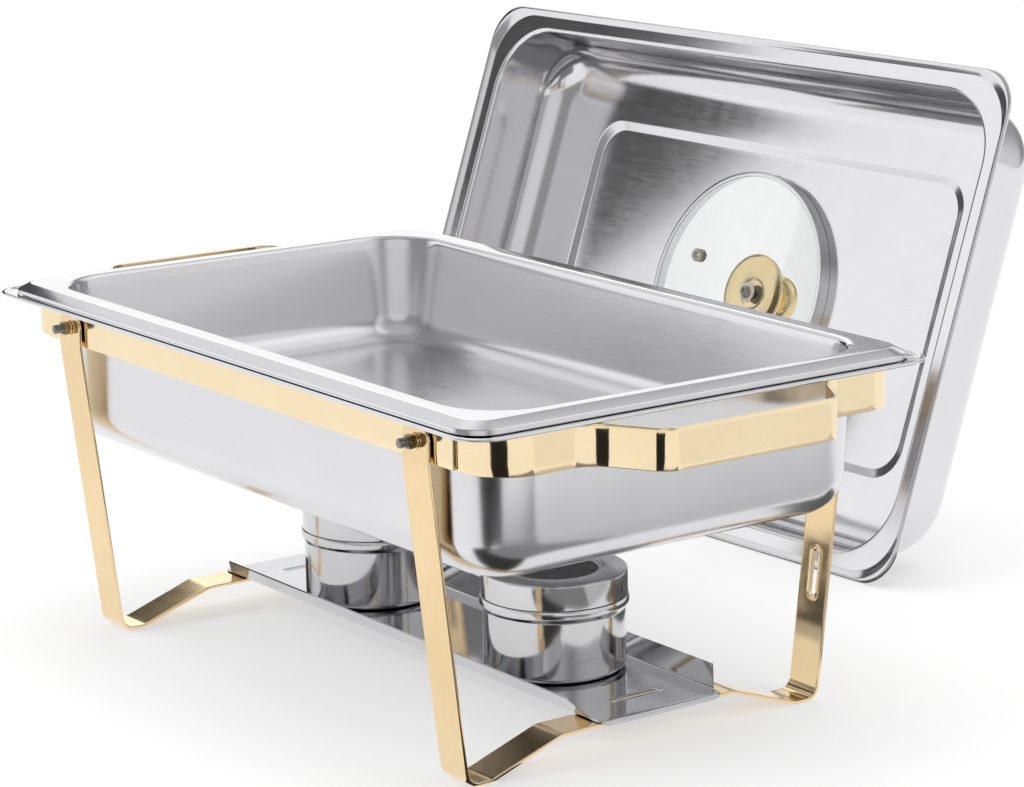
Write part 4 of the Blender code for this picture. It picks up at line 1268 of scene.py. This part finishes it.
@dataclass
class FuelTray(Assembly):
    """Channel tray with flared flanges, slanted flange ends, down-turned end lips and slits."""

    sheet: float = 0.0010
    back: float = 0.0095
    base_z: float = 0.0196
    base_half: float = 0.0470
    half: float = 0.2156
    flange: float = 0.0120
    flare: float = 0.0090
    fold: float = 0.0030
    end_bend: float = 0.0012
    flange_half: float = 0.1940
    lip: float = 0.0025
    corner: float = 0.0080
    slit_length: float = 0.0370
    slit_width: float = 0.0030
    slit_x: float = 0.1860
    slit_rim: float = 0.0005
    rim_out: float = 0.0010
    rim_width: float = 0.0008
    rim_reach: float = 0.0060
    slant_in: float = 0.0020
    fold_play: float = 0.0004
    across_step: float = 0.0016

    def ends(self, y: Array, reach: float) -> Array:
        """Half length of the tray: rounded at the base's corners, slanted on the flanges.

        Args:
            y: places across the tray.
            reach: half length of the base with its bent lip laid flat.

        Returns:
            One half length for each place.
        """
        out = np.abs(y)
        over = np.clip((out - (self.base_half - self.corner)) / self.corner, 0, 1)
        rounded = reach - self.corner * (1 - np.sqrt(np.maximum(1 - over ** 2, 0)))
        low_end = self.half - self.corner - self.slant_in
        up = np.clip((out - self.base_half) / self.flare, 0, 1)
        slant = low_end + (self.flange_half - low_end) * up
        on_base = out < self.base_half - self.fold_play
        return np.where(on_base, np.maximum(rounded, low_end), slant)

    def columns(self, flat_end: float, reach: float) -> Array:
        """Places along the tray as shares of its half length, closer at slits and lips.

        Args:
            flat_end: where the lip's bend starts.
            reach: half length of the base with its bent lip laid flat.

        Returns:
            Shares from -1 to 1 in order.
        """
        u = np.linspace(0, 1, 60)
        dense = (self.slit_x + np.linspace(-self.rim_reach, self.rim_reach, 25)) / reach
        tip = np.linspace(flat_end, reach, 10) / reach
        plain = u[(u < dense[0]) | ((u > dense[-1]) & (u < tip[0]))]
        u = np.unique(np.round(np.concatenate([plain, dense, tip]), 6))
        return np.concatenate([-u[:0:-1], u])

    def surface(self) -> Array:
        """Middle surface of the tray as a grid of (along, across) points.

        Across, the section runs down the front flange, over the base and up the rear flange
        with rounded folds. Along, it reaches each column's share of the half length there.
        What reaches past the crossbar is bent down through a quarter circle, and a ring round
        each slit is raised.

        Returns:
            Array of rows (across) by columns (along) by 3.
        """
        c = self.sheet / 2
        edge = self.base_half + self.flare
        section = rounded_path([(-edge, self.flange + c), (-self.base_half, c),
                                (self.base_half, c), (edge, self.flange + c)],
                               [self.fold, self.fold], 8)
        section = refined(section, self.across_step)
        y, z = section[:, 0], section[:, 1]
        bend = self.end_bend
        flat_end = self.half - c - bend
        reach = flat_end + bend * QUARTER + (self.lip + c - bend)
        along = self.columns(flat_end, reach)[None] * self.ends(y, reach)[:, None]
        past = np.maximum(np.abs(along) - flat_end, 0)
        angle = np.minimum(past / bend, QUARTER)
        x = np.sign(along) * (np.minimum(np.abs(along), flat_end) + bend * np.sin(angle))
        drop = bend * (1 - np.cos(angle)) + np.maximum(past - bend * QUARTER, 0)
        d = stadium_distance(y[:, None], np.abs(along) - self.slit_x, self.slit_length,
                             self.slit_width)
        ring = self.slit_rim * np.exp(-((d - self.rim_out) / self.rim_width) ** 2)
        return np.stack([x, np.broadcast_to(y[:, None], x.shape), z[:, None] - drop + ring], -1)

    def build(self) -> None:
        """Build the sheet, punch the slits and soften the cut edges."""
        place = self.at(y=self.back, z=self.base_z)
        piece = slab(self.surface(), self.sheet).build("fuel_tray_pressing", place, 40)
        tools = [stadium_prism(self.slit_length, self.slit_width, PUNCH_REACH).build(
            "slit_tool", place @ Matrix.Translation((side * self.slit_x, 0, 0))
            @ Matrix.Rotation(QUARTER, 4, "Z")) for side in (-1, 1)]
        punch(piece, tools)
        soften(piece, 0.0003, 2, 50)
        self.hand_over(piece, MIRROR_TRAY, "tray", "bright_steel", "fuel_tray")


@dataclass
class FuelCans(Assembly):
    """Two polished fuel cans with a swelled bead, and their lift-off covers."""

    places: tuple[float, float] = (-0.1010, 0.1055)
    back: float = FuelTray.back
    base_z: float = 0.0209
    radius: float = 0.0450
    height: float = 0.0640
    wall: float = 0.0008
    foot: float = 0.0040
    cover_r: float = 0.0462
    cover_t: float = 0.0008
    skirt: float = 0.0160
    hole_r: float = 0.0280
    side_hole_r: float = 0.0020
    side_hole_at: float = 31.0
    side_hole_down: float = 0.0100
    play: float = 0.0003
    swell: float = 0.0009
    stand_r: float = 0.0300
    hollow: float = 0.0012
    segments: int = 128

    def can(self, tag: str, place: Matrix) -> None:
        """Spin the cup: neck, ledge, swelled bead, body with a rounded foot, inside.

        Args:
            tag: left or right.
            place: pose of the can.
        """
        seat = self.height - self.skirt - self.play
        neck = self.cover_r - self.cover_t - 0.0004
        swell = self.cover_r + self.swell
        top = self.height - self.cover_t - self.play
        outside = rounded_path(
            [(neck - self.wall, top), (neck, top), (neck, seat), (swell - 0.0003, seat),
             (swell, seat - 0.0022), (swell, seat - 0.0052), (self.radius, seat - 0.0080),
             (self.radius, 0.0), (self.stand_r, 0.0), (self.stand_r - 0.0010, self.hollow),
             (0.0, self.hollow)],
            [0.0003, 0.0003, 0.0004, 0.0010, 0.0022, 0.0020, self.foot, 0.0008, 0.0008], 9)
        w = self.wall
        inside = rounded_path(
            [(0.0, w + self.hollow), (self.radius - w, w + self.hollow),
             (self.radius - w, seat - 0.0086),
             (neck - w, seat - 0.0056), (neck - w, top)], [self.foot - w, 0.001, 0.001], 12)
        shell = turned(np.concatenate([outside, inside[:-1]]), self.segments)
        piece = shell.build(f"{tag}_can_cup", place, 40)
        self.hand_over(piece, MIRROR_CAN, f"{tag}_can_body", "bright_steel", f"{tag}_can")
        # The inside faces get the near-black metal: painted shade inside the can.
        piece.data.materials.append(PAINTED_SHADE_INSIDE.material())
        inner = np.zeros(len(piece.data.polygons), np.int32)
        inner[self.segments * (len(outside) - 2):] = 1
        piece.data.polygons.foreach_set("material_index", inner)

    def cover(self, tag: str, place: Matrix) -> None:
        """Spin the cover ring, with a curled edge round its opening, and drill its side.

        Args:
            tag: left or right.
            place: pose of the can.
        """
        h, r, t = self.height, self.cover_r, self.cover_t
        low = h - self.skirt
        hole = self.hole_r
        section = rounded_path(
            [(hole, h - 0.0021), (hole, h - 0.0004), (hole + 0.0030, h - 0.0004),
             (hole + 0.0042, h), (r, h), (r, low), (r - t, low), (r - t, h - t),
             (hole + 0.0046, h - t), (hole + 0.0034, h - t - 0.0004),
             (hole + t, h - t - 0.0004), (hole + t, h - 0.0021), (hole, h - 0.0021)],
            [0.0007, 0.0010, 0.0010, 0.0012, 0.0003, 0.0003, 0.0006, 0.0010, 0.0010, 0.0003,
             0.0003], 10)
        shell = turned(section[:-1], self.segments, closed=True)
        piece = shell.build(f"{tag}_can_ring", place, 40)
        a = math.radians(self.side_hole_at)
        spot = (r * math.cos(a), r * math.sin(a), h - self.side_hole_down)
        axis = (Matrix.Translation(spot) @ Matrix.Rotation(a, 4, "Z")
                @ Matrix.Rotation(QUARTER, 4, "Y"))
        drill = rod(self.side_hole_r, PUNCH_REACH, 24)
        punch(piece, [drill.build("drill_tool", place @ axis)])
        soften(piece, 0.0002, 2, 55)
        self.hand_over(piece, MIRROR_CAN, f"{tag}_cover_body", "bright_steel",
                       f"{tag}_can_cover")

    def build(self) -> None:
        """Build both cans with their covers."""
        for tag, x in zip(("left", "right"), self.places):
            place = self.at(x, self.back, self.base_z)
            self.can(tag, place)
            self.cover(tag, place)


@dataclass
class GlazedLid(Assembly):
    """Deep satin lid on its long edge behind the dish, with a round window, vent and knob.

    Its own frame has X along the lid, Y down it and Z towards the outside of the dome.
    """

    pose: Matrix = field(default_factory=Matrix)
    lean: float = LID_LEAN
    heading: float = math.radians(2.3)
    sheet: float = 0.0007
    half_l: float = 0.2929
    half_w: float = 0.1864
    bead: float = 0.0014
    flange: float = 0.0140
    step_in: float = 0.0028
    depth: float = 0.0674
    taper: float = 0.0020
    fillet: float = 0.0262
    lip: float = 0.0035
    corners: tuple[float, ...] = (0.0300, 0.0540, 0.0235, 0.0260, 0.0240)
    panel_half: tuple[float, float] = (0.2030, 0.1080)
    panel_step: float = 0.0062
    panel_bend: float = 0.0040
    panel_rise: float = 0.0026
    window_r: float = 0.0930
    spread: float = 0.62
    ring_wall: float = 0.0012
    ring_drop: float = 0.0095
    ring_flange: float = 0.0040
    ring_lip: float = 0.0030
    glass_t: float = 0.0040
    glass_sag: float = 0.0140
    gap: float = 0.0003
    vent: tuple[float, float] = (-0.0600, -0.0200)
    vent_r: float = 0.0032
    vent_wall: float = 0.0016
    vent_flange: float = 0.0053
    knob_base: float = 0.0315
    knob_head: float = 0.0200
    knob_height: float = 0.0390
    knob_crown: float = 0.0115
    screw_r: float = 0.0024
    screw_head: float = 0.0046
    screw_head_t: float = 0.0030
    screw_dome: float = 0.0085
    screw_in: float = 0.0110
    cross: tuple[float, float, float] = (0.0050, 0.0010, 0.0016)
    cross_turn: float = 0.3
    segments: int = 128
    washer_r: float = 0.0078
    washer_t: float = 0.0015

    def place(self) -> Matrix:
        """Pose of the lid: its axes from the lean and heading, its middle from the CAD ring.

        Returns:
            The matrix from the lid's own frame to the common frame.
        """
        along = Vector((math.cos(self.heading), math.sin(self.heading), 0))
        back = Vector((-math.sin(self.heading), math.cos(self.heading), 0))
        up = math.cos(self.lean) * UP + math.sin(self.lean) * back
        dome = up.cross(along)
        turn = Matrix((along, -up, dome)).transposed()
        mesh = frame["nodes"]["lid_bezel"].data
        flat = np.empty(len(mesh.vertices) * 3, np.float32)
        mesh.vertices.foreach_get("co", flat)
        local = flat.reshape(-1, 3).astype(float) @ np.array(turn)
        centre = (local.min(0) + local.max(0)) / 2
        centre[2] = local[:, 2].min() - self.seat_low()
        return Matrix.Translation(turn @ Vector(centre)) @ turn.to_4x4()

    def panel_z(self) -> float:
        """Height of the stepped panel's middle surface."""
        return self.depth + self.panel_rise

    def seat_low(self) -> float:
        """Height of the window ring's lowest edge."""
        return self.panel_z() - self.sheet / 2 - self.ring_drop

    def glass_edge(self) -> float:
        """Radius of the glass inside its ring."""
        return self.window_r - self.gap - self.ring_wall - self.gap

    def glass_low(self) -> float:
        """Height of the underside of the glass at its edge."""
        return self.seat_low() + self.ring_wall + self.gap

    def glass_under(self, r: Array | float) -> Array | float:
        """Underside of the glass: edge height + sag * (1 - (r / edge)^2)."""
        return self.glass_low() + self.glass_sag * (1 - (r / self.glass_edge()) ** 2)

    def shell(self) -> None:
        """Press the lid: hem, stepped flange, lip, wall, fillet, flat top, stepped panel.

        Inside the panel the loops turn from rounded rectangles to circles: each point moves
        in a straight line to the window's edge. Its direction there has X shrunk by the
        spread factor, so that the points stand evenly round the window.
        """
        wall_in = self.flange + self.lip
        top_in = wall_in + self.taper + self.fillet
        pl, pw = self.panel_half
        out_l, out_w = pl + self.panel_step, pw + self.panel_step
        plan = Plan((0.0, self.flange, top_in, self.half_w - out_w, self.half_w - pw),
                    (self.half_l, self.half_l - self.flange, self.half_l - top_in, out_l, pl),
                    (self.half_w, self.half_w - self.flange, self.half_w - top_in, out_w, pw),
                    self.corners)
        hem = ROLL_IN * self.bead
        z1, z2 = self.depth, self.panel_z()
        points = [(hem, 0.0), (hem + self.step_in, self.step_in), (wall_in, self.step_in),
                  (wall_in + self.taper, z1), (self.half_w - out_w, z1), (self.half_w - pw, z2),
                  (self.half_w - pw + 0.004, z2)]
        radii = [0.0012, self.lip, self.fillet, self.panel_bend, self.panel_bend]
        line = refined(rounded_path(points, radii, 5.0), PRESS_STEP)
        over, under = both_sides(line, self.sheet)
        edge = rolled_edge(self.bead, self.sheet / 2)
        morph = np.linspace(0, 1, 12)[1:, None, None]

        def to_window(row: Array) -> Array:
            """Loops from a panel row to the window's edge.

            Args:
                row: points of the panel's innermost loop.

            Returns:
                Loops by points by 3.
            """
            direction = unit(row[:, :2] * np.array([self.spread, 1.0]))
            ring = np.concatenate([self.window_r * direction, row[:, 2:]], 1)
            return row[None] + (ring - row)[None] * morph

        loops = plan.loops(np.concatenate([over[::-1], edge, under]))
        grid = np.concatenate([to_window(loops[0])[::-1], loops, to_window(loops[-1])])
        surface = Shell()
        surface.grid(grid, close_rows=True)
        piece = surface.build("lid_pressing", self.pose, 50)
        self.hand_over(piece, SATIN_LID, "lid", "satin_steel", "lid_shell")

    def ring(self) -> None:
        """Spin the window ring: flange over the panel, wall, rolled inner lip."""
        w = self.ring_wall
        wall_r = self.window_r - self.gap
        top = self.panel_z() + self.sheet / 2 + self.gap
        low = self.seat_low()
        lip = wall_r - w - self.ring_lip
        section = rounded_path(
            [(wall_r - w, low + w), (wall_r - w, top + w), (self.window_r + self.ring_flange,
             top + w), (self.window_r + self.ring_flange, top), (wall_r, top), (wall_r, low),
             (lip, low), (lip, low + w), (wall_r - w, low + w)],
            [0.0012, 0.0005, 0.0002, 0.0004, 0.0012, 0.0006, 0.0005], 10)
        piece = turned(section[:-1], 160, closed=True).build("window_ring", self.pose, 40)
        self.hand_over(piece, MIRROR_RING, "lid", "bright_steel", "lid_bezel")

    def glass(self) -> None:
        """Domed glass of even thickness with a ground edge, screw hole and vent hole."""
        edge, hole = self.glass_edge(), self.screw_r + 0.0006
        r = np.linspace(hole, edge - 0.0005, 30)
        under = np.stack([r, self.glass_under(r)], 1)
        over = under[::-1] + np.array([0, self.glass_t])
        rim = np.array([[edge, self.glass_low() + 0.0006],
                        [edge, self.glass_low() + self.glass_t - 0.0006]])
        section = np.concatenate([under, rim, over])
        piece = turned(section, self.segments, closed=True).build("window_glass", self.pose, 30)
        drill = rod(self.vent_r + 0.0004, 0.01, 32)
        punch(piece, [drill.build("vent_tool", self.vent_pose())])
        self.hand_over(piece, CLEAR_GLASS, "lid", "clear_glass", "lid_glass")

    def vent_pose(self) -> Matrix:
        """Pose of the vent, square to the glass.

        Returns:
            The matrix from the vent's own frame to the common frame.
        """
        x, y = self.vent
        r = math.hypot(x, y)
        z = float(self.glass_under(r)) + self.glass_t / 2
        slope = 2 * self.glass_sag * r / self.glass_edge() ** 2
        normal = Vector((x / r * slope, y / r * slope, 1)).normalized()
        turn = UP.rotation_difference(normal).to_matrix().to_4x4()
        return self.pose @ Matrix.Translation((x, y, z)) @ turn

    def grommet(self) -> None:
        """Spin the vent's eyelet: a tube with a rolled flange on each side of the glass."""
        half, rim = self.glass_t / 2 + 0.0005, 0.0007
        bore = self.vent_r - self.vent_wall
        section = rounded_path(
            [(bore, 0.0), (bore, half + rim), (self.vent_flange, half + rim),
             (self.vent_flange, half), (self.vent_r, half), (self.vent_r, -half),
             (self.vent_flange, -half), (self.vent_flange, -half - rim), (bore, -half - rim),
             (bore, 0.0)], [0.0006, 0.0003, 0.0003, 0.0002, 0.0002, 0.0003, 0.0003, 0.0006], 15)
        piece = turned(section[:-1], 48, closed=True).build(
            "vent_eyelet", self.vent_pose(), 40)
        self.hand_over(piece, PALE_NICKEL, "lid", "bright_steel", "vent_grommet")

    def knob(self) -> None:
        """Spin the knob: round head, waisted neck, wide foot that is almost flat below."""
        base = self.glass_low() + self.glass_sag + self.glass_t + self.gap
        r, head, crown = self.knob_base, self.knob_head, self.knob_crown
        a = np.radians(np.linspace(90, -42, 26))
        cap = np.stack([head * np.cos(a), base + self.knob_height - crown + crown * np.sin(a)], 1)
        cap[0, 0] = 0.0
        neck = rounded_path(
            [cap[-1], (0.0116, base + 0.0165), (0.0120, base + 0.0112), (0.0205, base + 0.0066),
             (0.0285, base + 0.0046), (r, base + 0.0022), (r, base + 0.0002),
             (r - 0.0012, base), (r - 0.0022, base + 0.0004), (r - 0.0090, base + 0.0011),
             (0.0125, base + 0.0008), (0.0110, base + 0.0002), (self.screw_r + 0.0004, base),
             (self.screw_r + 0.0004, base + 0.0130), (0.0, base + 0.0130)],
            [0.004, 0.004, 0.012, 0.012, 0.0009, 0.0006, 0.0006, 0.0010, 0.0060, 0.0020, 0.0008,
             0.0002, 0.0002], 8)
        shell = turned(np.concatenate([cap, neck[1:]]), self.segments)
        piece = shell.build("lid_knob", self.pose, 40)
        self.hand_over(piece, GILT_KNOB, "lid", "gilt_knob", "knob")

    def screw(self) -> None:
        """Cross-head screw and silicone washer on the inside of the glass."""
        under = self.glass_low() + self.glass_sag
        bore = self.screw_r + 0.0003
        high = under - self.gap
        low = high - self.washer_t
        ring = rounded_path([(bore, low), (self.washer_r, low), (self.washer_r, high),
                             (bore, high)], [0.0005, 0.0005], 15)
        washer = turned(ring[::-1], 64, closed=True).build("knob_cushion", self.pose, 40)
        self.hand_over(washer, SILICONE, "lid", "grey_rubber", "knob_washer")
        face = low - self.gap
        r, deep = self.screw_head, self.screw_head_t
        dome = arc((0, face - deep + self.screw_dome), self.screw_dome, -90, -62, 8)
        top = under + self.glass_t
        shank = [(r, face - deep + 0.0013), (r, face), (self.screw_r, face),
                 (self.screw_r, top + self.screw_in - 0.0005), (0, top + self.screw_in)]
        profile = np.concatenate([dome, shank])
        profile[0, 0] = 0.0
        piece = turned(profile, 64).build("knob_fixing", self.pose, 35)
        mid = Matrix.Translation((0, 0, face - deep))
        tools = [stadium_prism(*self.cross).build(
            "cross_tool", self.pose @ mid @ Matrix.Rotation(self.cross_turn + a, 4, "Z"))
            for a in (0, QUARTER)]
        punch(piece, tools)
        self.hand_over(piece, PALE_NICKEL, "lid", "dark_fastener", "knob_screw")

    def build(self) -> None:
        """Build every piece of the lid in its leaning pose."""
        self.pose = self.place()
        for part in (self.shell, self.ring, self.glass, self.grommet, self.knob, self.screw):
            part()


# ================================================================== studio
@dataclass(frozen=True)
class Panel:
    """Soft bright patch of the room: where it is, its strength and its two half angles."""

    azimuth: float
    height: float
    strength: float
    outer: float
    inner: float


@dataclass(frozen=True)
class Card:
    """Flat card of one brightness, 0 black to 1 white, with its corners in order."""

    name: str
    level: float
    corners: tuple[Point, ...]


@dataclass(frozen=True)
class SoftBox:
    """Rectangular soft light: its middle, its width and height, and its watts."""

    name: str
    at: Point
    size: tuple[float, float]
    power: float


def lying(name: str, level: float, z: float, *corners: tuple[float, float]) -> Card:
    """Card that lies flat at one height."""
    return Card(name, level, tuple((x, y, z) for x, y in corners))


def standing(name: str, level: float, low: float, high: float,
             *feet: tuple[float, float, float, float]) -> Card:
    """Upright card from its foot line (x, y, x, y) up to its top line, which may differ."""
    (ax, ay, bx, by), (cx, cy, dx, dy) = feet
    return Card(name, level, ((ax, ay, low), (bx, by, low), (cx, cy, high), (dx, dy, high)))


PANELS = (
    Panel(-50.0, 8.0, 0.74, 34.0, 12.0),
    Panel(48.0, 16.0, 0.42, 34.0, 12.0),
    Panel(-128.0, 15.0, 0.80, 32.0, 12.0),
    Panel(-100.0, 42.0, 0.55, 36.0, 14.0),
    Panel(125.0, 16.0, 0.48, 50.0, 15.0),
    Panel(162.0, 50.0, 0.45, 34.0, 14.0),
    Panel(0.0, 90.0, 0.20, 50.0, 20.0),
)
CARDS = (
    standing("card_left", 0.08, 0.13, 0.74,
             (-1.117, -0.106, -1.60, 0.46), (-1.60, 0.46, -0.955, -0.295)),
    standing("card_back", 0.22, 0.02, 0.17,
             (-0.46, 0.188, -0.26, 0.197), (-0.26, 0.197, -0.46, 0.188)),
    lying("card_far", 0.90, 0.0006, (0.79, 0.14), (2.95, 0.52), (1.93, 2.30), (0.51, 0.61)),
    lying("card_front", 0.02, 0.001, (0.37, -0.46), (1.00, -2.86), (2.60, -1.92), (0.56, -0.37)),
    lying("card_corner", 0.26, 0.0012, (0.33, -0.36), (0.62, -0.38), (0.78, 0.02), (0.33, 0.02)),
    lying("card_end", 0.62, 0.0012, (0.33, 0.02), (0.66, 0.02), (0.66, 0.55), (0.33, 0.55)),
    lying("card_behind", 0.12, 0.0008, (-0.62, 0.14), (0.30, 0.14), (0.30, 0.33), (-0.62, 0.31)),
    lying("card_can", 0.04, 0.0010, (0.20, -0.14), (0.25, -0.44), (0.42, -0.44), (0.34, -0.12)),
)
BOXES = (
    SoftBox("key", (-1.6, -2.6, 2.6), (2.6, 2.0), 60.0),
    SoftBox("top", (0.1, 0.2, 3.4), (3.0, 3.0), 60.0),
    SoftBox("side", (2.8, 0.6, 1.6), (1.4, 1.8), 14.0),
)
WHITE = (1.0, 1.0, 1.0, 1.0)


@dataclass
class Studio:
    """Pale floor, soft boxes, reflection cards and the camera."""

    target: Vector
    eye: Point = (1.857712, -1.365062, 0.6657)
    azimuth: float = 52.01
    elevation: float = 13.2
    roll: float = -0.25
    lens: float = 119.3
    sensor: float = 36.0
    shift: tuple[float, float] = (-0.1311, 0.0136)
    room: float = 0.33
    floor_reach: float = 9.0
    floor_grey: float = 0.94
    shadow_near: float = 0.30
    shadow_far: float = 0.70
    near_share: float = 0.48
    mirrored_share: float = 0.78

    def camera(self) -> None:
        """Camera: view direction from azimuth and elevation, then a slight roll."""
        a, e, r = (math.radians(v) for v in (self.azimuth, self.elevation, self.roll))
        view = Vector((-math.sin(a) * math.cos(e), math.cos(a) * math.cos(e), -math.sin(e)))
        right = view.cross(UP).normalized()
        up = right.cross(view)
        across = math.cos(r) * right + math.sin(r) * up
        over = -math.sin(r) * right + math.cos(r) * up
        data = bpy.data.cameras.new("view")
        data.lens, data.sensor_width, data.sensor_fit = self.lens, self.sensor, "HORIZONTAL"
        data.shift_x, data.shift_y = self.shift
        data.clip_start, data.clip_end = 0.05, 60.0
        obj = bpy.data.objects.new("view", data)
        obj.matrix_world = (Matrix.Translation(self.eye)
                            @ Matrix((across, over, -view)).transposed().to_4x4())
        bpy.context.scene.collection.objects.link(obj)
        bpy.context.scene.camera = obj

    def soft_box(self, box: SoftBox) -> None:
        """Hang a soft box, aimed at the dish and unseen in polished surfaces.

        Args:
            box: its place, size and power.
        """
        data = bpy.data.lights.new(box.name, "AREA")
        data.shape, data.size, data.size_y, data.energy = "RECTANGLE", *box.size, box.power
        obj = bpy.data.objects.new(box.name, data)
        obj.visible_glossy = False
        spot = Vector(box.at)
        aim = (self.target - spot).to_track_quat("-Z", "Y").to_matrix().to_4x4()
        obj.matrix_world = Matrix.Translation(spot) @ aim
        bpy.context.scene.collection.objects.link(obj)

    def sheet(self, name: str, corners: Sequence[Point]) -> bpy.types.Object:
        """Flat one-faced object of the stage.

        Args:
            name: name of the object and of its material.
            corners: its corners in order, from the point on the floor under the target.

        Returns:
            The object, with a new node material.
        """
        x, y = self.target.x, self.target.y
        mesh = bpy.data.meshes.new(name)
        mesh.from_pydata([(x + px, y + py, pz) for px, py, pz in corners], [],
                         [tuple(range(len(corners)))])
        obj = bpy.data.objects.new(name, mesh)
        bpy.context.scene.collection.objects.link(obj)
        mat = bpy.data.materials.new(name)
        mat.use_nodes = True
        mesh.materials.append(mat)
        return obj

    def card(self, card: Card) -> None:
        """Put up a card that only polished surfaces see.

        Args:
            card: its corners and brightness.
        """
        obj = self.sheet(card.name, card.corners)
        tree = obj.data.materials[0].node_tree
        tree.nodes.clear()
        n = Nodes(tree)
        glow = n.add("Emission", {"Color": (card.level, card.level, card.level, 1.0)})
        n.add("OutputMaterial", {"Surface": glow.outputs[0]})
        obj.visible_camera = obj.visible_diffuse = obj.visible_shadow = False
        obj.visible_transmission = obj.visible_volume_scatter = False

    def floor(self) -> None:
        """Large pale floor: matt near the dish, where shadows fall, and plain white far off.

        The camera sees near_share of plain white close to the dish and all of it far off,
        with a smooth step of the distance between; polished surfaces see mirrored_share or
        more. The rest is the matt floor in its own light, and the white lights nothing.
        """
        r = self.floor_reach
        obj = self.sheet("floor", [(-r, -r, 0), (r, -r, 0), (r, r, 0), (-r, r, 0)])
        obj.location.z = -0.0002
        tree = obj.data.materials[0].node_tree
        n = Nodes(tree)
        shader = tree.nodes["Principled BSDF"]
        where = n.add("TexCoord").outputs["Object"]
        mottle = n.noise(where, 260.0)
        grey = self.floor_grey
        n.feed(shader, {"Base Color": (grey, grey, grey, 1.0), "Roughness": 0.85,
                        "Specular IOR Level": 0.15, "Normal": n.bump(mottle, 0.0002, 0.1)})
        away = n.add("VectorMath", {"0": where, "1": (self.target.x, self.target.y, 0.0)},
                     operation="DISTANCE")
        far = n.add("MapRange", {"Value": away.outputs["Value"], "From Min": self.shadow_near,
                                 "From Max": self.shadow_far, "To Min": self.near_share},
                    interpolation_type="SMOOTHSTEP").outputs["Result"]
        path = n.add("LightPath").outputs
        sharp = n.maths("MAXIMUM", path["Is Glossy Ray"], path["Is Transmission Ray"])
        direct = n.maths("MULTIPLY", far, path["Is Camera Ray"])
        mirrored = n.maths("MULTIPLY", n.maths("MAXIMUM", far, self.mirrored_share), sharp)
        glow = n.add("Emission", {"Color": WHITE})
        n.show(n.maths("MAXIMUM", direct, mirrored), shader.outputs[0], glow.outputs[0])

    def world(self) -> None:
        """Surroundings: white to the camera and through glass, a studio room to all else.

        The room is dim with broad soft panels: brightness is the room's level plus, for each
        panel, its strength times a smooth step of the cosine between the direction and the
        panel's middle.
        """
        world = bpy.data.worlds.new("surroundings")
        bpy.context.scene.world = world
        world.use_nodes = True
        tree = world.node_tree
        tree.nodes.clear()
        n = Nodes(tree)
        towards = n.add("TexCoord").outputs["Generated"]
        level: Socket | float = self.room
        for panel in PANELS:
            a, e = math.radians(panel.azimuth), math.radians(panel.height)
            aim = (math.sin(a) * math.cos(e), -math.cos(a) * math.cos(e), math.sin(e))
            dot = n.add("VectorMath", {"0": towards, "1": aim}, operation="DOT_PRODUCT")
            lobe = n.add("MapRange", {"Value": dot.outputs["Value"],
                                      "From Min": math.cos(math.radians(panel.outer)),
                                      "From Max": math.cos(math.radians(panel.inner)),
                                      "To Max": panel.strength},
                         interpolation_type="SMOOTHSTEP")
            level = n.maths("ADD", level, lobe.outputs["Result"])
        path = n.add("LightPath").outputs
        first = n.maths("LESS_THAN", path["Glossy Depth"], 0.5)
        through = n.maths("MULTIPLY", path["Is Transmission Ray"], first)
        seen = n.maths("MAXIMUM", path["Is Camera Ray"], through)
        plain = n.add("Background", {"Color": WHITE, "Strength": 1.0})
        room = n.add("Background", {"Color": WHITE, "Strength": level})
        mix = n.add("MixShader", {"0": seen, "1": room.outputs[0], "2": plain.outputs[0]})
        n.add("OutputWorld", {"Surface": mix.outputs[0]})

    def build(self) -> None:
        """Set up the view, the light and the floor."""
        self.camera()
        self.floor()
        self.world()
        for card in CARDS:
            self.card(card)
        for box in BOXES:
            self.soft_box(box)
        bpy.context.scene.view_settings.view_transform = "Standard"


def main() -> None:
    """Build the studio and each sub-assembly in order, and log how many pieces each has."""
    logging.basicConfig(level=logging.INFO, format="%(name)s %(message)s")
    low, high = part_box("water_pan")
    origin = Vector(((low.x + high.x) / 2, (low.y + high.y) / 2, 0.0))
    Studio(target=origin + Vector((0, 0.05, 0.18))).build()
    for kind in (StripFrame, FoldingLegs, LegPivots, WaterPan, FoodPan, FuelTray, FuelCans,
                 GlazedLid):
        assembly = kind(origin)
        assembly.build()
        LOG.info("%s: %d pieces", kind.__name__, len(assembly.pieces))


if __name__ == "__main__":
    main()
